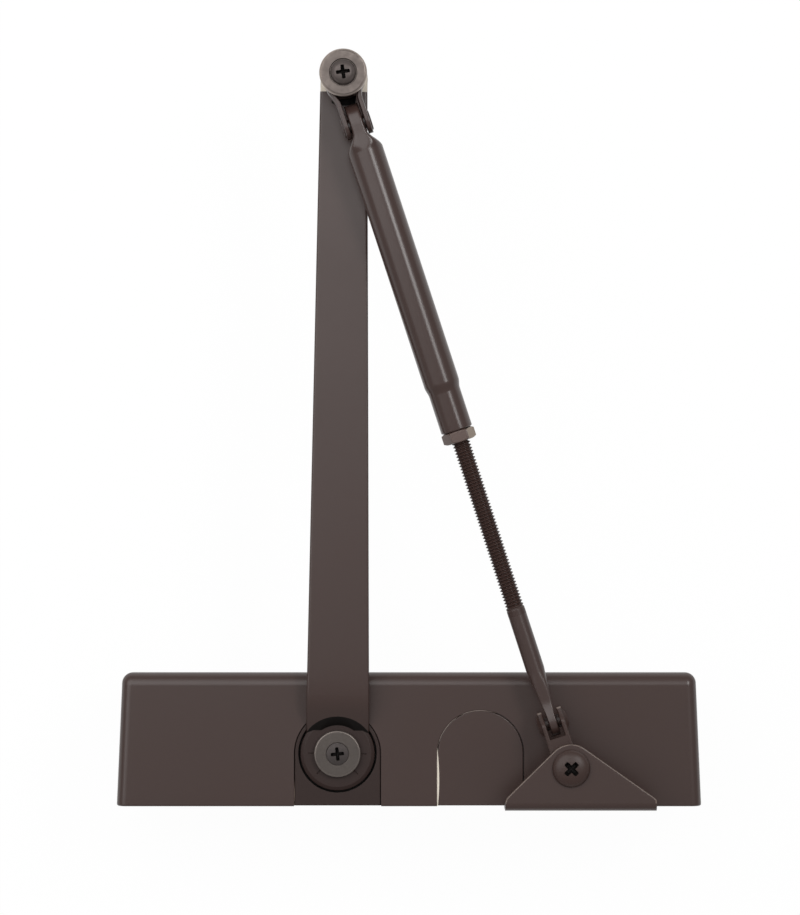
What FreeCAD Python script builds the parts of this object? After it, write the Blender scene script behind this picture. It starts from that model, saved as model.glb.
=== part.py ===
import FreeCAD, Part
import Sketcher
import math
import os
import re

# Overhead door closer with a regular arm, millimetres.
# X runs along the door, Y points into the door, Z is up along the spindle.
# The door face is the plane y = 0 and the origin is the middle of the four door screws.

# Driving dimensions
sizes = {
    # sheet metal cover, open at the back
    "cover_draft": 2.5,
    "cover_wall": 2.0,
    "cover_fillet": 4.5,
    # two arched slots in the top of the cover and the inserts that close them
    "insert_rim": 1.85,
    "insert_gap": 0.35,
    "insert_sink": 0.3,
    "insert_lip": 2.2,
    "lip_thick": 1.8,
    "spindle_gap": 0.6,
    # body casting
    "spindle_offset": 31.0,
    "spindle_setback": 23.0,
    "bore_radius": 18.0,
    "barrel_wall": 4.0,
    "foot_reach": 19.5,
    "foot_clear": 7.5,
    "foot_height": 34.0,
    "foot_thick": 6.0,
    "door_hole_inset": 6.5,
    "door_hole_rise": 19.0,
    "door_hole_radius": 3.4,
    "boss_radius": 17.0,
    "boss_drop": 9.5,
    "boss_bore": 14.0,
    "gallery_cover": 4.0,
    "gallery_clear": 6.4,
    "gallery_half": 9.0,
    "post_offset": 70.0,
    "post_radius": 5.0,
    # clearances
    "fit_gap": 0.02,
    "run_gap": 0.05,
    "face_gap": 0.1,
    # end caps, spring and power adjuster
    "cap_depth": 12.0,
    "cap_hex": 22.0,
    "cap_hex_height": 5.0,
    "seal_section": 2.0,
    "seat_thick": 6.0,
    "seat_clear": 0.8,
    "adjuster_radius": 4.0,
    "adjuster_proud": 8.0,
    "adjuster_socket": 5.0,
    "spring_clear": 1.6,
    "spring_wire": 4.4,
    "spring_turns": 8.0,
    # speed valves
    "valve_radius": 2.5,
    "valve_depth": 26.0,
    "valve_offset": 0.5,
    "valve_rise": 4.5,
    "valve_slot": 0.9,
    # rack and pinion
    "gear_module": 2.0,
    "gear_teeth": 10,
    "gear_half": 9.0,
    "rack_teeth": 8,
    "rack_half": 11.0,
    "tooth_play": 0.06,
    "journal_radius": 8.0,
    "journal_half": 24.0,
    "square_side": 11.0,
    "square_bottom": 6.0,
    "bearing_drop": 4.4,
    "bearing_height": 5.6,
    "nut_height": 6.2,
    # piston
    "piston_left": 2.0,
    "piston_head": 8.6,
    "piston_clear": 2.0,
    "window_start": 14.6,
    "window_end": 44.4,
    "check_ball_radius": 2.6,
    "check_ball_offset": 9.0,
    # main arm
    "arm_length": 292.1,
    "arm_angle": 0.57,
    "arm_root_width": 27.6,
    "arm_tip_width": 20.4,
    "arm_rise": 1.5,
    "arm_thick": 7.5,
    "arm_bevel": 0.9,
    "hub_radius": 16.1,
    "hub_clear": 1.0,
    "hub_rise": 0.5,
    "hub_chamfer": 1.5,
    "spot_rise": 3.0,
    "neck_clear": 0.6,
    "eye_radius": 10.2,
    "eye_drop": 5.5,
    "eye_thick": 7.5,
    "eye_spot_radius": 12.2,
    "eye_neck_width": 13.4,
    "eye_neck_run": 24.0,
    "horn_reach": 8.1,
    # spindle washer and screw
    "washer_radius": 10.1,
    "washer_thick": 2.7,
    "washer_chamfer": 0.6,
    "screw_radius": 2.4,
    "flat_head_radius": 4.85,
    # elbow
    "stud_radius": 6.5,
    "stud_foot_radius": 5.0,
    "stud_head_radius": 7.0,
    "stud_head_height": 2.0,
    "knuckle_rise": 20.0,
    "knuckle_radius": 9.2,
    "thrust_thick": 0.5,
    "elbow_washer_radius": 10.2,
    "pan_head_radius": 5.4,
    "pan_head_height": 3.4,
    "ear_gap": 7.15,
    "ear_thick": 2.35,
    "ear_radius": 7.3,
    "knuckle_reach": 22.0,
    "ear_drop": 0.7,
    "knuckle_pin_radius": 3.0,
    "rivet_head_radius": 4.8,
    "rivet_head_height": 1.2,
    # forearm, measured from the knuckle pin along its own axis
    "shoe_offset": 100.27,
    "forearm_offset": 1.2,
    "tube_radius": 7.7,
    "tube_end": 117.0,
    "tube_hollow_start": 24.0,
    "tube_hollow_radius": 6.0,
    "tongue_thick": 5.95,
    "tongue_radius": 7.2,
    "shoulder_start": 9.4,
    "shoulder_end": 17.5,
    "neck_end": 124.0,
    "sleeve_radius": 6.7,
    "sleeve_end": 139.7,
    "jam_nut_flats": 12.7,
    "jam_nut_height": 5.5,
    "thread_radius": 3.97,
    "thread_start": 98.0,
    "rod_plain": 50.7,
    "shank_radius": 4.1,
    "rod_taper": 26.0,
    "rod_tongue_run": 8.0,
    "rod_tongue_thick": 3.6,
    "rod_tongue_radius": 5.3,
    # clevis under the shoe
    "clevis_reach": 20.2,
    "clevis_drop": 6.1,
    "clevis_pin_radius": 2.8,
    "clevis_gap": 6.5,
    "clevis_ear_thick": 2.1,
    "clevis_ear_radius": 5.7,
    "clevis_web_thick": 3.0,
    "clevis_web_end": 15.1,
    "clevis_disc_radius": 9.5,
    # shoe, measured from its bolt
    "shoe_setback": 18.35,
    "shoe_near_half": 28.2,
    "shoe_far_half": 36.7,
    "shoe_shoulder": 5.0,
    "shoe_apex_radius": 10.2,
    "shoe_thick": 3.0,
    "shoe_rise": 23.1,
    "shoe_flange": 19.1,
    "shoe_bend": 3.4,
    "shoe_hole_pitch": 44.0,
    "shoe_hole_drop": 10.6,
    "shoe_hole_radius": 3.1,
    "shoe_washer_thick": 0.5,
    "bolt_radius": 3.9,
    "bolt_head_radius": 8.1,
    "bolt_head_height": 3.9,
    "shoe_nut_flats": 12.7,
    "shoe_nut_height": 6.0,
    # cross recesses in the screw heads
    "recess_width": 1.2,
    "recess_depth": 1.6,
}

# Dimensions that follow from the driving ones
derived = {
    # the rack's stroke sets the piston, the piston sets the barrel, and the barrel sets the cover
    "piston_right": "spindle_offset + window_end + piston_head",
    "barrel_half": "piston_right + piston_clear + cap_depth",
    "foot_half": "barrel_half + foot_reach",
    "door_hole_pitch": "(foot_half - door_hole_inset) * 2",
    "cover_length": "(foot_half + foot_clear + cover_wall) * 2",
    "cover_front_length": "cover_length - cover_draft * 2",
    "barrel_radius": "bore_radius + barrel_wall",
    "valve_setback": "spindle_setback + barrel_radius + valve_offset",
    "gallery_front": "valve_setback + gallery_cover",
    "cover_depth": "gallery_front + gallery_clear + cover_wall",
    "spring_radius": "bore_radius - spring_wire / 2 - spring_clear",
    "seat_radius": "bore_radius - seat_clear",
    "seat_pilot": "spring_radius - spring_wire / 2 - seat_clear * 1.25",
    "rack_addendum": "gear_module * 0.55",
    # the arms stand on the top of the cover
    "bearing_bottom": "bore_radius - bearing_drop",
    "boss_height": "bearing_bottom + bearing_height + face_gap + nut_height",
    "cover_height": "(boss_height + boss_drop) * 2",
    "hub_bottom": "boss_height + hub_clear",
    "hub_top": "cover_height / 2 + hub_rise",
    "arm_bottom": "cover_height / 2 + arm_rise",
    "eye_bottom": "arm_bottom - eye_drop",
    "knuckle_top": "arm_bottom + arm_thick + knuckle_rise",
    "knuckle_pin_height": "knuckle_top - ear_radius - ear_drop",
    "shoe_top": "cover_height / 2 + shoe_rise",
    "clevis_pin_height": "shoe_top - shoe_thick - shoe_washer_thick - clevis_web_thick - clevis_drop",
    # the slot takes the insert, and the insert takes the hub
    "slot_radius": "hub_radius + spindle_gap + insert_rim + insert_gap",
    "spot_mouth": "hub_radius - hub_chamfer * 0.2",
    "spot_foot": "spot_mouth - spot_rise * 0.73",
    "slope_foot": "spot_foot - hub_chamfer * 0.67",
    "slope_run": "slope_foot + arm_thick * 1.2",
    "neck_run": "slope_run + eye_drop * 0.8",
    # the forearm spans from the elbow to the shoe
    "forearm_run": "shoe_offset - arm_length * sin(arm_angle)",
    "forearm_rise": "arm_length * cos(arm_angle) + spindle_setback - shoe_setback",
    "forearm_span": "sqrt(forearm_run ^ 2 + forearm_rise ^ 2)",
    "pin_run": "forearm_span - knuckle_reach - clevis_reach",
    "pin_drop": "knuckle_pin_height - clevis_pin_height",
    "pin_span": "sqrt(pin_run ^ 2 + pin_drop ^ 2)",
    "thread_end": "pin_span - rod_plain",
}

doc = FreeCAD.newDocument("DoorCloser")
sheet = doc.addObject("Spreadsheet::Sheet", "Sizes")
for row, (name, number) in enumerate(sizes.items(), start=1):
    sheet.set("A%d" % row, str(number))
    sheet.setAlias("A%d" % row, name)
doc.recompute()

nodes = {}


def bound(text):
    # write out the derived dimensions and put the sheet's name before each driving one
    def written(word):
        if word[0] in derived:
            return "(%s)" % bound(derived[word[0]])
        return "Sizes." + word[0] if word[0] in sizes else word[0]
    return re.sub(r"[a-z][a-z_]*", written, text)


def size(text):
    return float(sheet.evalExpression(bound(text)))


def number(value):
    return "%.6f" % value


# Lengths that several pieces share, as expressions of the driving dimensions
cover_top = "cover_height / 2"
cover_inside = "cover_height / 2 - cover_wall"
pitch_radius = "gear_module * gear_teeth / 2"
rack_root = "gear_module * gear_teeth / 2 + gear_module * 1.15"
arm_top = "arm_bottom + arm_thick"
eye_top = "eye_bottom + eye_thick"
knuckle_bottom = "eye_bottom + eye_thick + thrust_thick + face_gap"
stud_top = "knuckle_top + face_gap"
flat_head_top = "hub_top + washer_thick"
elbow_washer_top = "knuckle_top + face_gap + washer_thick"
shoe_bottom = "shoe_top - shoe_thick"
web_top = "shoe_top - shoe_thick - shoe_washer_thick"
web_bottom = web_top + " - clevis_web_thick"
seat_face = "barrel_half - cap_depth - seat_thick - face_gap"


# Sketches and features
def new_body(label):
    body = doc.addObject("PartDesign::Body", label)
    body.Label = label
    nodes[label] = body
    return body


def origin_feature(body, role):
    return [item for item in body.Origin.OriginFeatures if item.Role == role][0]


def new_sketch(body, role, lift):
    sketch = body.newObject("Sketcher::SketchObject", "Sketch")
    sketch.AttachmentSupport = [(origin_feature(body, role), "")]
    sketch.MapMode = "FlatFace"
    sketch.setExpression("AttachmentOffset.Base.z", bound(lift))
    return sketch


def fix_point(sketch, shape, point, x, y):
    for kind, text in (("DistanceX", x), ("DistanceY", y)):
        index = sketch.addConstraint(Sketcher.Constraint(kind, -1, 1, shape, point, size(text)))
        sketch.setExpression("Constraints[%d]" % index, bound(text))


def fix_radius(sketch, shape, radius):
    index = sketch.addConstraint(Sketcher.Constraint("Radius", shape, size(radius)))
    sketch.setExpression("Constraints[%d]" % index, bound(radius))


def draw_line(sketch, start, end):
    points = [FreeCAD.Vector(size(x), size(y), 0) for x, y in (start, end)]
    return sketch.addGeometry(Part.LineSegment(points[0], points[1]), False)


def draw_corners(sketch, corners):
    # a closed outline of straight lines through the given corners
    lines = [draw_line(sketch, a, b) for a, b in zip(corners, corners[1:] + corners[:1])]
    for line, after in zip(lines, lines[1:] + lines[:1]):
        sketch.addConstraint(Sketcher.Constraint("Coincident", line, 2, after, 1))
    for line, (x, y) in zip(lines, corners):
        fix_point(sketch, line, 1, x, y)


def draw_circle(sketch, x, y, radius):
    centre = FreeCAD.Vector(size(x), size(y), 0)
    circle = sketch.addGeometry(Part.Circle(centre, FreeCAD.Vector(0, 0, 1), size(radius)), False)
    fix_point(sketch, circle, 3, x, y)
    fix_radius(sketch, circle, radius)


def draw_arch(sketch, x, mouth, centre, radius):
    # an arch that is open towards +Y at its mouth and round about its centre
    up = FreeCAD.Vector(0, 0, 1)
    ring = Part.Circle(FreeCAD.Vector(size(x), size(centre), 0), up, size(radius))
    arc = sketch.addGeometry(Part.ArcOfCircle(ring, math.pi, 2 * math.pi), False)
    near = "%s - (%s)" % (x, radius)
    far = "%s + (%s)" % (x, radius)
    far_side = draw_line(sketch, (far, centre), (far, mouth))
    back = draw_line(sketch, (far, mouth), (near, mouth))
    near_side = draw_line(sketch, (near, mouth), (near, centre))
    sketch.addConstraint(Sketcher.Constraint("Tangent", arc, 2, far_side, 1))
    sketch.addConstraint(Sketcher.Constraint("Coincident", far_side, 2, back, 1))
    sketch.addConstraint(Sketcher.Constraint("Coincident", back, 2, near_side, 1))
    sketch.addConstraint(Sketcher.Constraint("Tangent", near_side, 2, arc, 1))
    sketch.addConstraint(Sketcher.Constraint("Vertical", far_side))
    sketch.addConstraint(Sketcher.Constraint("Vertical", near_side))
    sketch.addConstraint(Sketcher.Constraint("Horizontal", back))
    fix_point(sketch, arc, 3, x, centre)
    fix_radius(sketch, arc, radius)
    index = sketch.addConstraint(Sketcher.Constraint("DistanceY", -1, 1, back, 1, size(mouth)))
    sketch.setExpression("Constraints[%d]" % index, bound(mouth))


def drawn(body, role, lift, loops):
    # a loop is a list of corners, a circle (x, y, radius) or an arch (x, mouth, centre, radius)
    sketch = new_sketch(body, role, lift)
    for loop in loops:
        if isinstance(loop, list):
            draw_corners(sketch, loop)
        elif len(loop) == 3:
            draw_circle(sketch, *loop)
        else:
            draw_arch(sketch, *loop)
    return sketch


def volume(body):
    doc.recompute()
    return body.Shape.Volume


def pad(body, role, lift, length, *loops):
    feature = body.newObject("PartDesign::Pad", "Pad")
    feature.Profile = drawn(body, role, lift, loops)
    feature.setExpression("Length", bound(length))
    return feature


def cut(body, role, lift, length, *loops):
    # the cut runs the same way as a pad on that plane would
    before = volume(body)
    feature = body.newObject("PartDesign::Pocket", "Pocket")
    feature.Profile = drawn(body, role, lift, loops)
    feature.Reversed = True
    feature.setExpression("Length", bound(length))
    if volume(body) >= before:
        raise ValueError("a cut in %s removes nothing" % body.Label)
    return feature


def turn(body, axis, corners):
    # corners are (radius, height) about the V axis or (length, radius) about the H axis
    feature = body.newObject("PartDesign::Revolution", "Revolution")
    sketch = drawn(body, "XZ_Plane", "0", [corners])
    feature.Profile = sketch
    feature.ReferenceAxis = (sketch, [axis])
    feature.Angle = 360
    return feature


def turn_cut(body, axis, corners, sweep=360):
    # a sweep short of a full turn is centred on the sketch
    before = volume(body)
    feature = body.newObject("PartDesign::Groove", "Groove")
    sketch = drawn(body, "XZ_Plane", "0", [corners])
    feature.Profile = sketch
    feature.ReferenceAxis = (sketch, [axis])
    feature.Angle = sweep
    feature.Midplane = sweep < 360
    if volume(body) >= before:
        raise ValueError("a groove in %s removes nothing" % body.Label)
    return feature


def soften(body, kind, radius, chosen):
    # round or bevel the edges of the body that the test function chooses
    doc.recompute()
    base = body.Tip
    names = ["Edge%d" % i for i, edge in enumerate(base.Shape.Edges, start=1) if chosen(edge)]
    feature = body.newObject("PartDesign::" + kind, kind)
    feature.Base = (base, names)
    feature.setExpression("Radius" if kind == "Fillet" else "Size", bound(radius))
    return feature


def box(x0, y0, x1, y1):
    return [(x0, y0), (x1, y0), (x1, y1), (x0, y1)]


def hexagon(flats):
    # corners on a circle, first corner up
    radius = size(flats) / math.sqrt(3)
    turns = [math.radians(90 + 60 * i) for i in range(6)]
    return [(number(radius * math.cos(a)), number(radius * math.sin(a))) for a in turns]


def cross_recess(body, top, half):
    width = "recess_width / 2"
    lift = "%s - recess_depth" % top
    for long, wide in ((half, width), (width, half)):
        arm = box("-(%s)" % long, "-(%s)" % wide, long, wide)
        cut(body, "XY_Plane", lift, "recess_depth * 2", arm)


def group(label, members):
    # separate solids of one kind in one node
    compound = doc.addObject("Part::Compound", label)
    compound.Label = label
    compound.Links = members
    for member in members:
        nodes.pop(member.Label, None)
    nodes[label] = compound
    return compound


def torus(label, radius, section):
    ring = doc.addObject("Part::Torus", label)
    ring.Label = label
    ring.setExpression("Radius1", bound(radius))
    ring.setExpression("Radius2", bound(section))
    return ring


def at(x, y, z, yaw=0.0, pitch=0.0):
    # yaw turns about Z, then the piece's own X axis dips by the pitch
    dip = FreeCAD.Rotation(FreeCAD.Vector(0, 1, 0), pitch)
    swing = FreeCAD.Rotation(FreeCAD.Vector(0, 0, 1), yaw)
    return FreeCAD.Placement(FreeCAD.Vector(x, y, z), swing.multiply(dip))


# Places of the moving pieces at rest, with the door shut
spindle_x = size("spindle_offset")
spindle_y = -size("spindle_setback")
arm_yaw = -90.0 - size("arm_angle")
elbow_x = spindle_x + size("arm_length") * math.cos(math.radians(arm_yaw))
elbow_y = spindle_y + size("arm_length") * math.sin(math.radians(arm_yaw))
bolt_x = spindle_x - size("shoe_offset")
bolt_y = -size("shoe_setback")
forearm_yaw = math.degrees(math.atan2(bolt_y - elbow_y, bolt_x - elbow_x))
forearm_dip = math.degrees(math.atan2(size("pin_drop"), size("pin_run")))
along = FreeCAD.Vector(math.cos(math.radians(forearm_yaw)), math.sin(math.radians(forearm_yaw)), 0)
aside = FreeCAD.Vector(along.y, -along.x, 0)
knuckle_pin_at = FreeCAD.Vector(elbow_x, elbow_y, size("knuckle_pin_height"))
knuckle_pin_at += along * size("knuckle_reach") + aside * size("forearm_offset")
clevis_pin_at = FreeCAD.Vector(bolt_x, bolt_y, size("clevis_pin_height"))
clevis_pin_at += along * -size("clevis_reach") + aside * size("forearm_offset")

on_barrel = at(0, spindle_y, 0)
on_barrel_turned = at(0, spindle_y, 0, 180)
on_spindle = at(spindle_x, spindle_y, 0)
on_arm = at(spindle_x, spindle_y, 0, arm_yaw)
on_elbow = at(elbow_x, elbow_y, 0, arm_yaw)
on_knuckle = at(elbow_x, elbow_y, 0, forearm_yaw)
on_forearm = at(knuckle_pin_at.x, knuckle_pin_at.y, knuckle_pin_at.z, forearm_yaw, forearm_dip)
on_clevis = at(bolt_x, bolt_y, 0, forearm_yaw)
on_shoe = at(bolt_x, 0, 0)
on_bolt = at(bolt_x, bolt_y, 0, 45)


# Cover: a drawn box with sloping ends, two arched slots in its top and two screw holes below
def cover():
    body = new_body("cover")
    outer = []
    inner = []
    half_height = "cover_height / 2"
    for lift, half in (("0", "cover_length / 2"), ("cover_depth", "cover_front_length / 2")):
        outer.append(drawn(body, "XZ_Plane", lift, [box("-" + half, "-" + half_height, half, half_height)]))
    loft = body.newObject("PartDesign::AdditiveLoft", "Shell")
    loft.Profile = outer[0]
    loft.Sections = [outer[1]]
    soften(body, "Fillet", "cover_fillet", lambda edge: edge.CenterOfMass.y < -size("cover_wall"))
    before = volume(body)
    inner_height = half_height + " - cover_wall"
    for lift, half in (("0", "cover_length / 2"), ("cover_depth - cover_wall", "cover_front_length / 2")):
        inner_half = half + " - cover_wall"
        loop = box("-(%s)" % inner_half, "-(%s)" % inner_height, inner_half, inner_height)
        inner.append(drawn(body, "XZ_Plane", lift, [loop]))
    hollow = body.newObject("PartDesign::SubtractiveLoft", "Hollow")
    hollow.Profile = inner[0]
    hollow.Sections = [inner[1]]
    if volume(body) >= before:
        raise ValueError("the cover is not hollow")
    slots = []
    for side in ("", "-"):
        slots.append((side + "spindle_offset", "cover_wall", "-spindle_setback", "slot_radius"))
    cut(body, "XY_Plane", cover_top + " - cover_wall * 2", "cover_wall * 3", *slots)
    holes = [(side + "post_offset", "-spindle_setback", "screw_radius") for side in ("", "-")]
    cut(body, "XY_Plane", "-(%s) - cover_wall" % cover_top, "cover_wall * 3", *holes)


def insert(label, x):
    # an arched plate that fills a slot, with a lip that bears on the underside of the cover
    body = new_body(label)
    bottom = cover_inside + " - lip_thick"
    plate = (x, "-insert_gap", "-spindle_setback", "slot_radius - insert_gap")
    lip = (x, "-insert_gap", "-spindle_setback", "slot_radius + insert_lip")
    pad(body, "XY_Plane", bottom, "lip_thick + cover_wall - insert_sink", plate)
    pad(body, "XY_Plane", bottom, "lip_thick - face_gap", lip)
    return body


def inserts():
    spindle = insert("spindle_insert", "spindle_offset")
    hole = ("spindle_offset", "-spindle_setback", "hub_radius + spindle_gap")
    cut(spindle, "XY_Plane", cover_inside + " - lip_thick * 2", "lip_thick * 4", hole)
    insert("blank_insert", "-spindle_offset")


def cover_screws():
    members = []
    for side in (1, -1):
        body = new_body("cover_screw_%d" % (len(members) + 1))
        head = "-(%s)" % cover_top
        shank = "screw_radius - fit_gap * 5"
        turn(body, "V_Axis", [
            ("0", head + " - pan_head_height * 0.7"),
            ("pan_head_radius * 0.5", head + " - pan_head_height * 0.7"),
            ("pan_head_radius * 0.8", head + " - pan_head_height * 0.4"),
            ("pan_head_radius * 0.8", head),
            (shank, head),
            (shank, head + " + post_radius * 2"),
            ("0", head + " + post_radius * 2"),
        ])
        body.Placement = at(side * size("post_offset"), spindle_y, 0)
        members.append(body)
    group("cover_screws", members)


# Body casting: a barrel on a long foot, with a boss for the spindle and an oil gallery in front
def casting():
    body = new_body("body_casting")
    axis = "-spindle_setback"
    web = "barrel_radius * 0.7"
    pad(body, "XZ_Plane", "0", "foot_thick",
        box("-foot_half", "-foot_height / 2", "foot_half", "foot_height / 2"))
    pad(body, "XZ_Plane", "0", "spindle_setback", box("-barrel_half", "-" + web, "barrel_half", web))
    pad(body, "YZ_Plane", "-barrel_half", "barrel_half * 2", (axis, "0", "barrel_radius"))
    pad(body, "XZ_Plane", "spindle_setback", "gallery_front - spindle_setback",
        box("-barrel_half", "-gallery_half", "barrel_half", "gallery_half"))
    pad(body, "XY_Plane", "-boss_height", "boss_height * 2", ("spindle_offset", axis, "boss_radius"))
    posts = [(side + "post_offset", axis, "post_radius") for side in ("", "-")]
    pad(body, "XY_Plane", "-(%s)" % cover_inside, "%s - barrel_radius / 2" % cover_inside, *posts)
    cut(body, "YZ_Plane", "-barrel_half", "barrel_half * 2", (axis, "0", "bore_radius"))
    cut(body, "XY_Plane", "-boss_height", "boss_height * 2", ("spindle_offset", axis, "boss_bore"))
    holes = []
    for x in ("door_hole_pitch / 2", "-door_hole_pitch / 2"):
        for z in ("door_hole_rise / 2", "-door_hole_rise / 2"):
            holes.append((x, z, "door_hole_radius"))
    cut(body, "XZ_Plane", "0", "foot_thick", *holes)
    pair = [("-valve_setback", side + "valve_rise", "valve_radius + run_gap") for side in ("", "-")]
    cut(body, "YZ_Plane", "barrel_half - valve_depth", "valve_depth", *pair)
    cut(body, "YZ_Plane", "-barrel_half", "valve_depth", ("-valve_setback", "0", "valve_radius + run_gap"))
    taps = [(side + "post_offset", axis, "screw_radius - fit_gap * 4") for side in ("", "-")]
    cut(body, "XY_Plane", "-(%s)" % cover_inside, "post_radius * 2", *taps)


def end_cap(label, place, hole=None):
    # a plug with a seal groove and a hexagon outside, screwed into the end of the barrel
    body = new_body(label)
    inner = "barrel_half - cap_depth"
    rim = "bore_radius - fit_gap"
    turn(body, "H_Axis", [(inner, "0"), ("barrel_half", "0"), ("barrel_half", rim), (inner, rim)])
    pad(body, "YZ_Plane", "barrel_half", "cap_hex_height", hexagon("cap_hex"))
    middle = inner + " + cap_depth / 3"
    groove = box(middle + " - seal_section / 2 - face_gap", "bore_radius - seal_section - face_gap * 2",
                 middle + " + seal_section / 2 + face_gap", "bore_radius + seal_section")
    turn_cut(body, "H_Axis", groove)
    if hole:
        cut(body, "YZ_Plane", inner, "cap_depth + cap_hex_height", ("0", "0", hole))
    body.Placement = place


def end_caps():
    end_cap("plain_end_cap", on_barrel)
    end_cap("spring_end_cap", on_barrel_turned, "adjuster_radius + run_gap")
    rings = []
    for side in (1, -1):
        ring = torus("cap_seal_%d" % (len(rings) + 1),
                     "bore_radius - seal_section / 2 - face_gap", "seal_section / 2")
        x = side * size("barrel_half - cap_depth + cap_depth / 3")
        across = FreeCAD.Rotation(FreeCAD.Vector(0, 1, 0), 90)
        ring.Placement = FreeCAD.Placement(FreeCAD.Vector(x, spindle_y, 0), across)
        rings.append(ring)
    group("end_cap_seals", rings)


def spring_set():
    # the seat, the closing spring and the screw that sets its power, along the barrel's -X end
    seat = new_body("spring_seat")
    outer = seat_face + " + seat_thick"
    pilot = seat_face + " - seat_thick"
    turn(seat, "H_Axis", [
        (pilot, "0"),
        (outer, "0"),
        (outer, "seat_radius"),
        (seat_face, "seat_radius"),
        (seat_face, "seat_pilot"),
        (pilot, "seat_pilot * 0.8"),
    ])
    seat.Placement = on_barrel_turned
    adjuster = new_body("power_adjuster")
    tip = outer + " + face_gap / 2"
    end = "barrel_half + adjuster_proud"
    turn(adjuster, "H_Axis",
         [(tip, "0"), (end, "0"), (end, "adjuster_radius"), (tip, "adjuster_radius")])
    cut(adjuster, "YZ_Plane", end + " - adjuster_radius", "adjuster_radius", hexagon("adjuster_socket"))
    adjuster.Placement = on_barrel_turned
    length = "(%s - piston_left - spring_wire - face_gap * 2)" % seat_face
    helix = doc.addObject("Part::Helix", "SpringLine")
    helix.setExpression("Height", bound(length))
    helix.setExpression("Pitch", bound("%s / spring_turns" % length))
    helix.setExpression("Radius", bound("spring_radius"))
    wire = doc.addObject("Part::Circle", "SpringWire")
    wire.setExpression("Radius", bound("spring_wire / 2"))
    wire.setExpression("Placement.Base.x", bound("spring_radius"))
    wire.Placement.Rotation = FreeCAD.Rotation(FreeCAD.Vector(1, 0, 0), 90)
    spring = doc.addObject("Part::Sweep", "main_spring")
    spring.Label = "main_spring"
    spring.Sections = [wire]
    spring.Spine = helix
    spring.Solid = True
    spring.Frenet = True
    x = -size("piston_left + spring_wire / 2 + face_gap")
    back = FreeCAD.Rotation(FreeCAD.Vector(0, 1, 0), -90)
    spring.Placement = FreeCAD.Placement(FreeCAD.Vector(x, spindle_y, 0), back)
    nodes["main_spring"] = spring


def valve(label, rise, place):
    # a slotted needle screw in the oil gallery
    body = new_body(label)
    start = "barrel_half - valve_depth + face_gap"
    end = "barrel_half + valve_radius / 2"
    turn(body, "H_Axis", [
        (start, "0"),
        (end, "0"),
        (end, "valve_radius"),
        (start + " + valve_radius * 2", "valve_radius"),
        (start, "valve_radius / 2"),
    ])
    slot = box("-valve_radius * 2", "-valve_slot / 2", "valve_radius * 2", "valve_slot / 2")
    cut(body, "YZ_Plane", end + " - valve_slot", "valve_slot", slot)
    body.Placement = at(0, -size("valve_setback"), size(rise), place)


def valves():
    valve("sweep_valve", "valve_rise", 0)
    valve("latch_valve", "-valve_rise", 0)
    valve("backcheck_valve", "0", 180)


# Spindle: a pinion with journals and square ends, its bearings, nuts and seals
def involute(angle):
    return math.tan(angle) - angle


def tooth_corners():
    # one involute tooth, to the left of the gap that faces the rack
    teeth = size("gear_teeth")
    pitch = size(pitch_radius)
    pressure = math.radians(20)
    base = pitch * math.cos(pressure)
    tip = pitch + size("gear_module")
    root = size("journal_radius")
    play = size("tooth_play") / pitch
    middle = math.radians(-90) + math.pi / teeth
    steps = 4
    left = [(root, math.pi / (2 * teeth) + involute(pressure) - play)]
    for i in range(steps + 1):
        radius = base + (tip - base) * i / steps
        bend = involute(math.acos(base / radius))
        left.append((radius, math.pi / (2 * teeth) + involute(pressure) - bend - play))
    corners = [(r, middle - a) for r, a in left] + [(r, middle + a) for r, a in reversed(left)]
    return [(number(r * math.cos(a)), number(r * math.sin(a))) for r, a in corners]


def pinion():
    body = new_body("pinion")
    collar = "%s - rack_addendum - face_gap * 4" % pitch_radius
    turn(body, "V_Axis", [
        ("0", "-journal_half"),
        ("journal_radius", "-journal_half"),
        ("journal_radius", "-gear_half"),
        (collar, "-gear_half"),
        (collar, "gear_half"),
        ("journal_radius", "gear_half"),
        ("journal_radius", "journal_half"),
        ("0", "journal_half"),
    ])
    # the squares stand in line with the arm, which is not quite square to the door
    reach = size("square_side") / math.sqrt(2)
    turns = [math.radians(arm_yaw + 45 + 90 * i) for i in range(4)]
    square = [(number(reach * math.cos(a)), number(reach * math.sin(a))) for a in turns]
    square_top = "hub_top - spindle_gap"
    pad(body, "XY_Plane", "-journal_half - square_bottom", "square_bottom", square)
    pad(body, "XY_Plane", "journal_half", square_top + " - journal_half", square)
    tooth = pad(body, "XY_Plane", "-gear_half", "gear_half * 2", tooth_corners())
    doc.recompute()
    teeth = body.newObject("PartDesign::PolarPattern", "Teeth")
    teeth.Originals = [tooth]
    teeth.Axis = (origin_feature(body, "Z_Axis"), [""])
    teeth.Angle = 360
    teeth.setExpression("Occurrences", bound("gear_teeth"))
    body.Tip = teeth
    tap = ("0", "0", "screw_radius + run_gap")
    cut(body, "XY_Plane", "journal_half - screw_radius", "hub_top", tap)
    body.Placement = on_spindle


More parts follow.
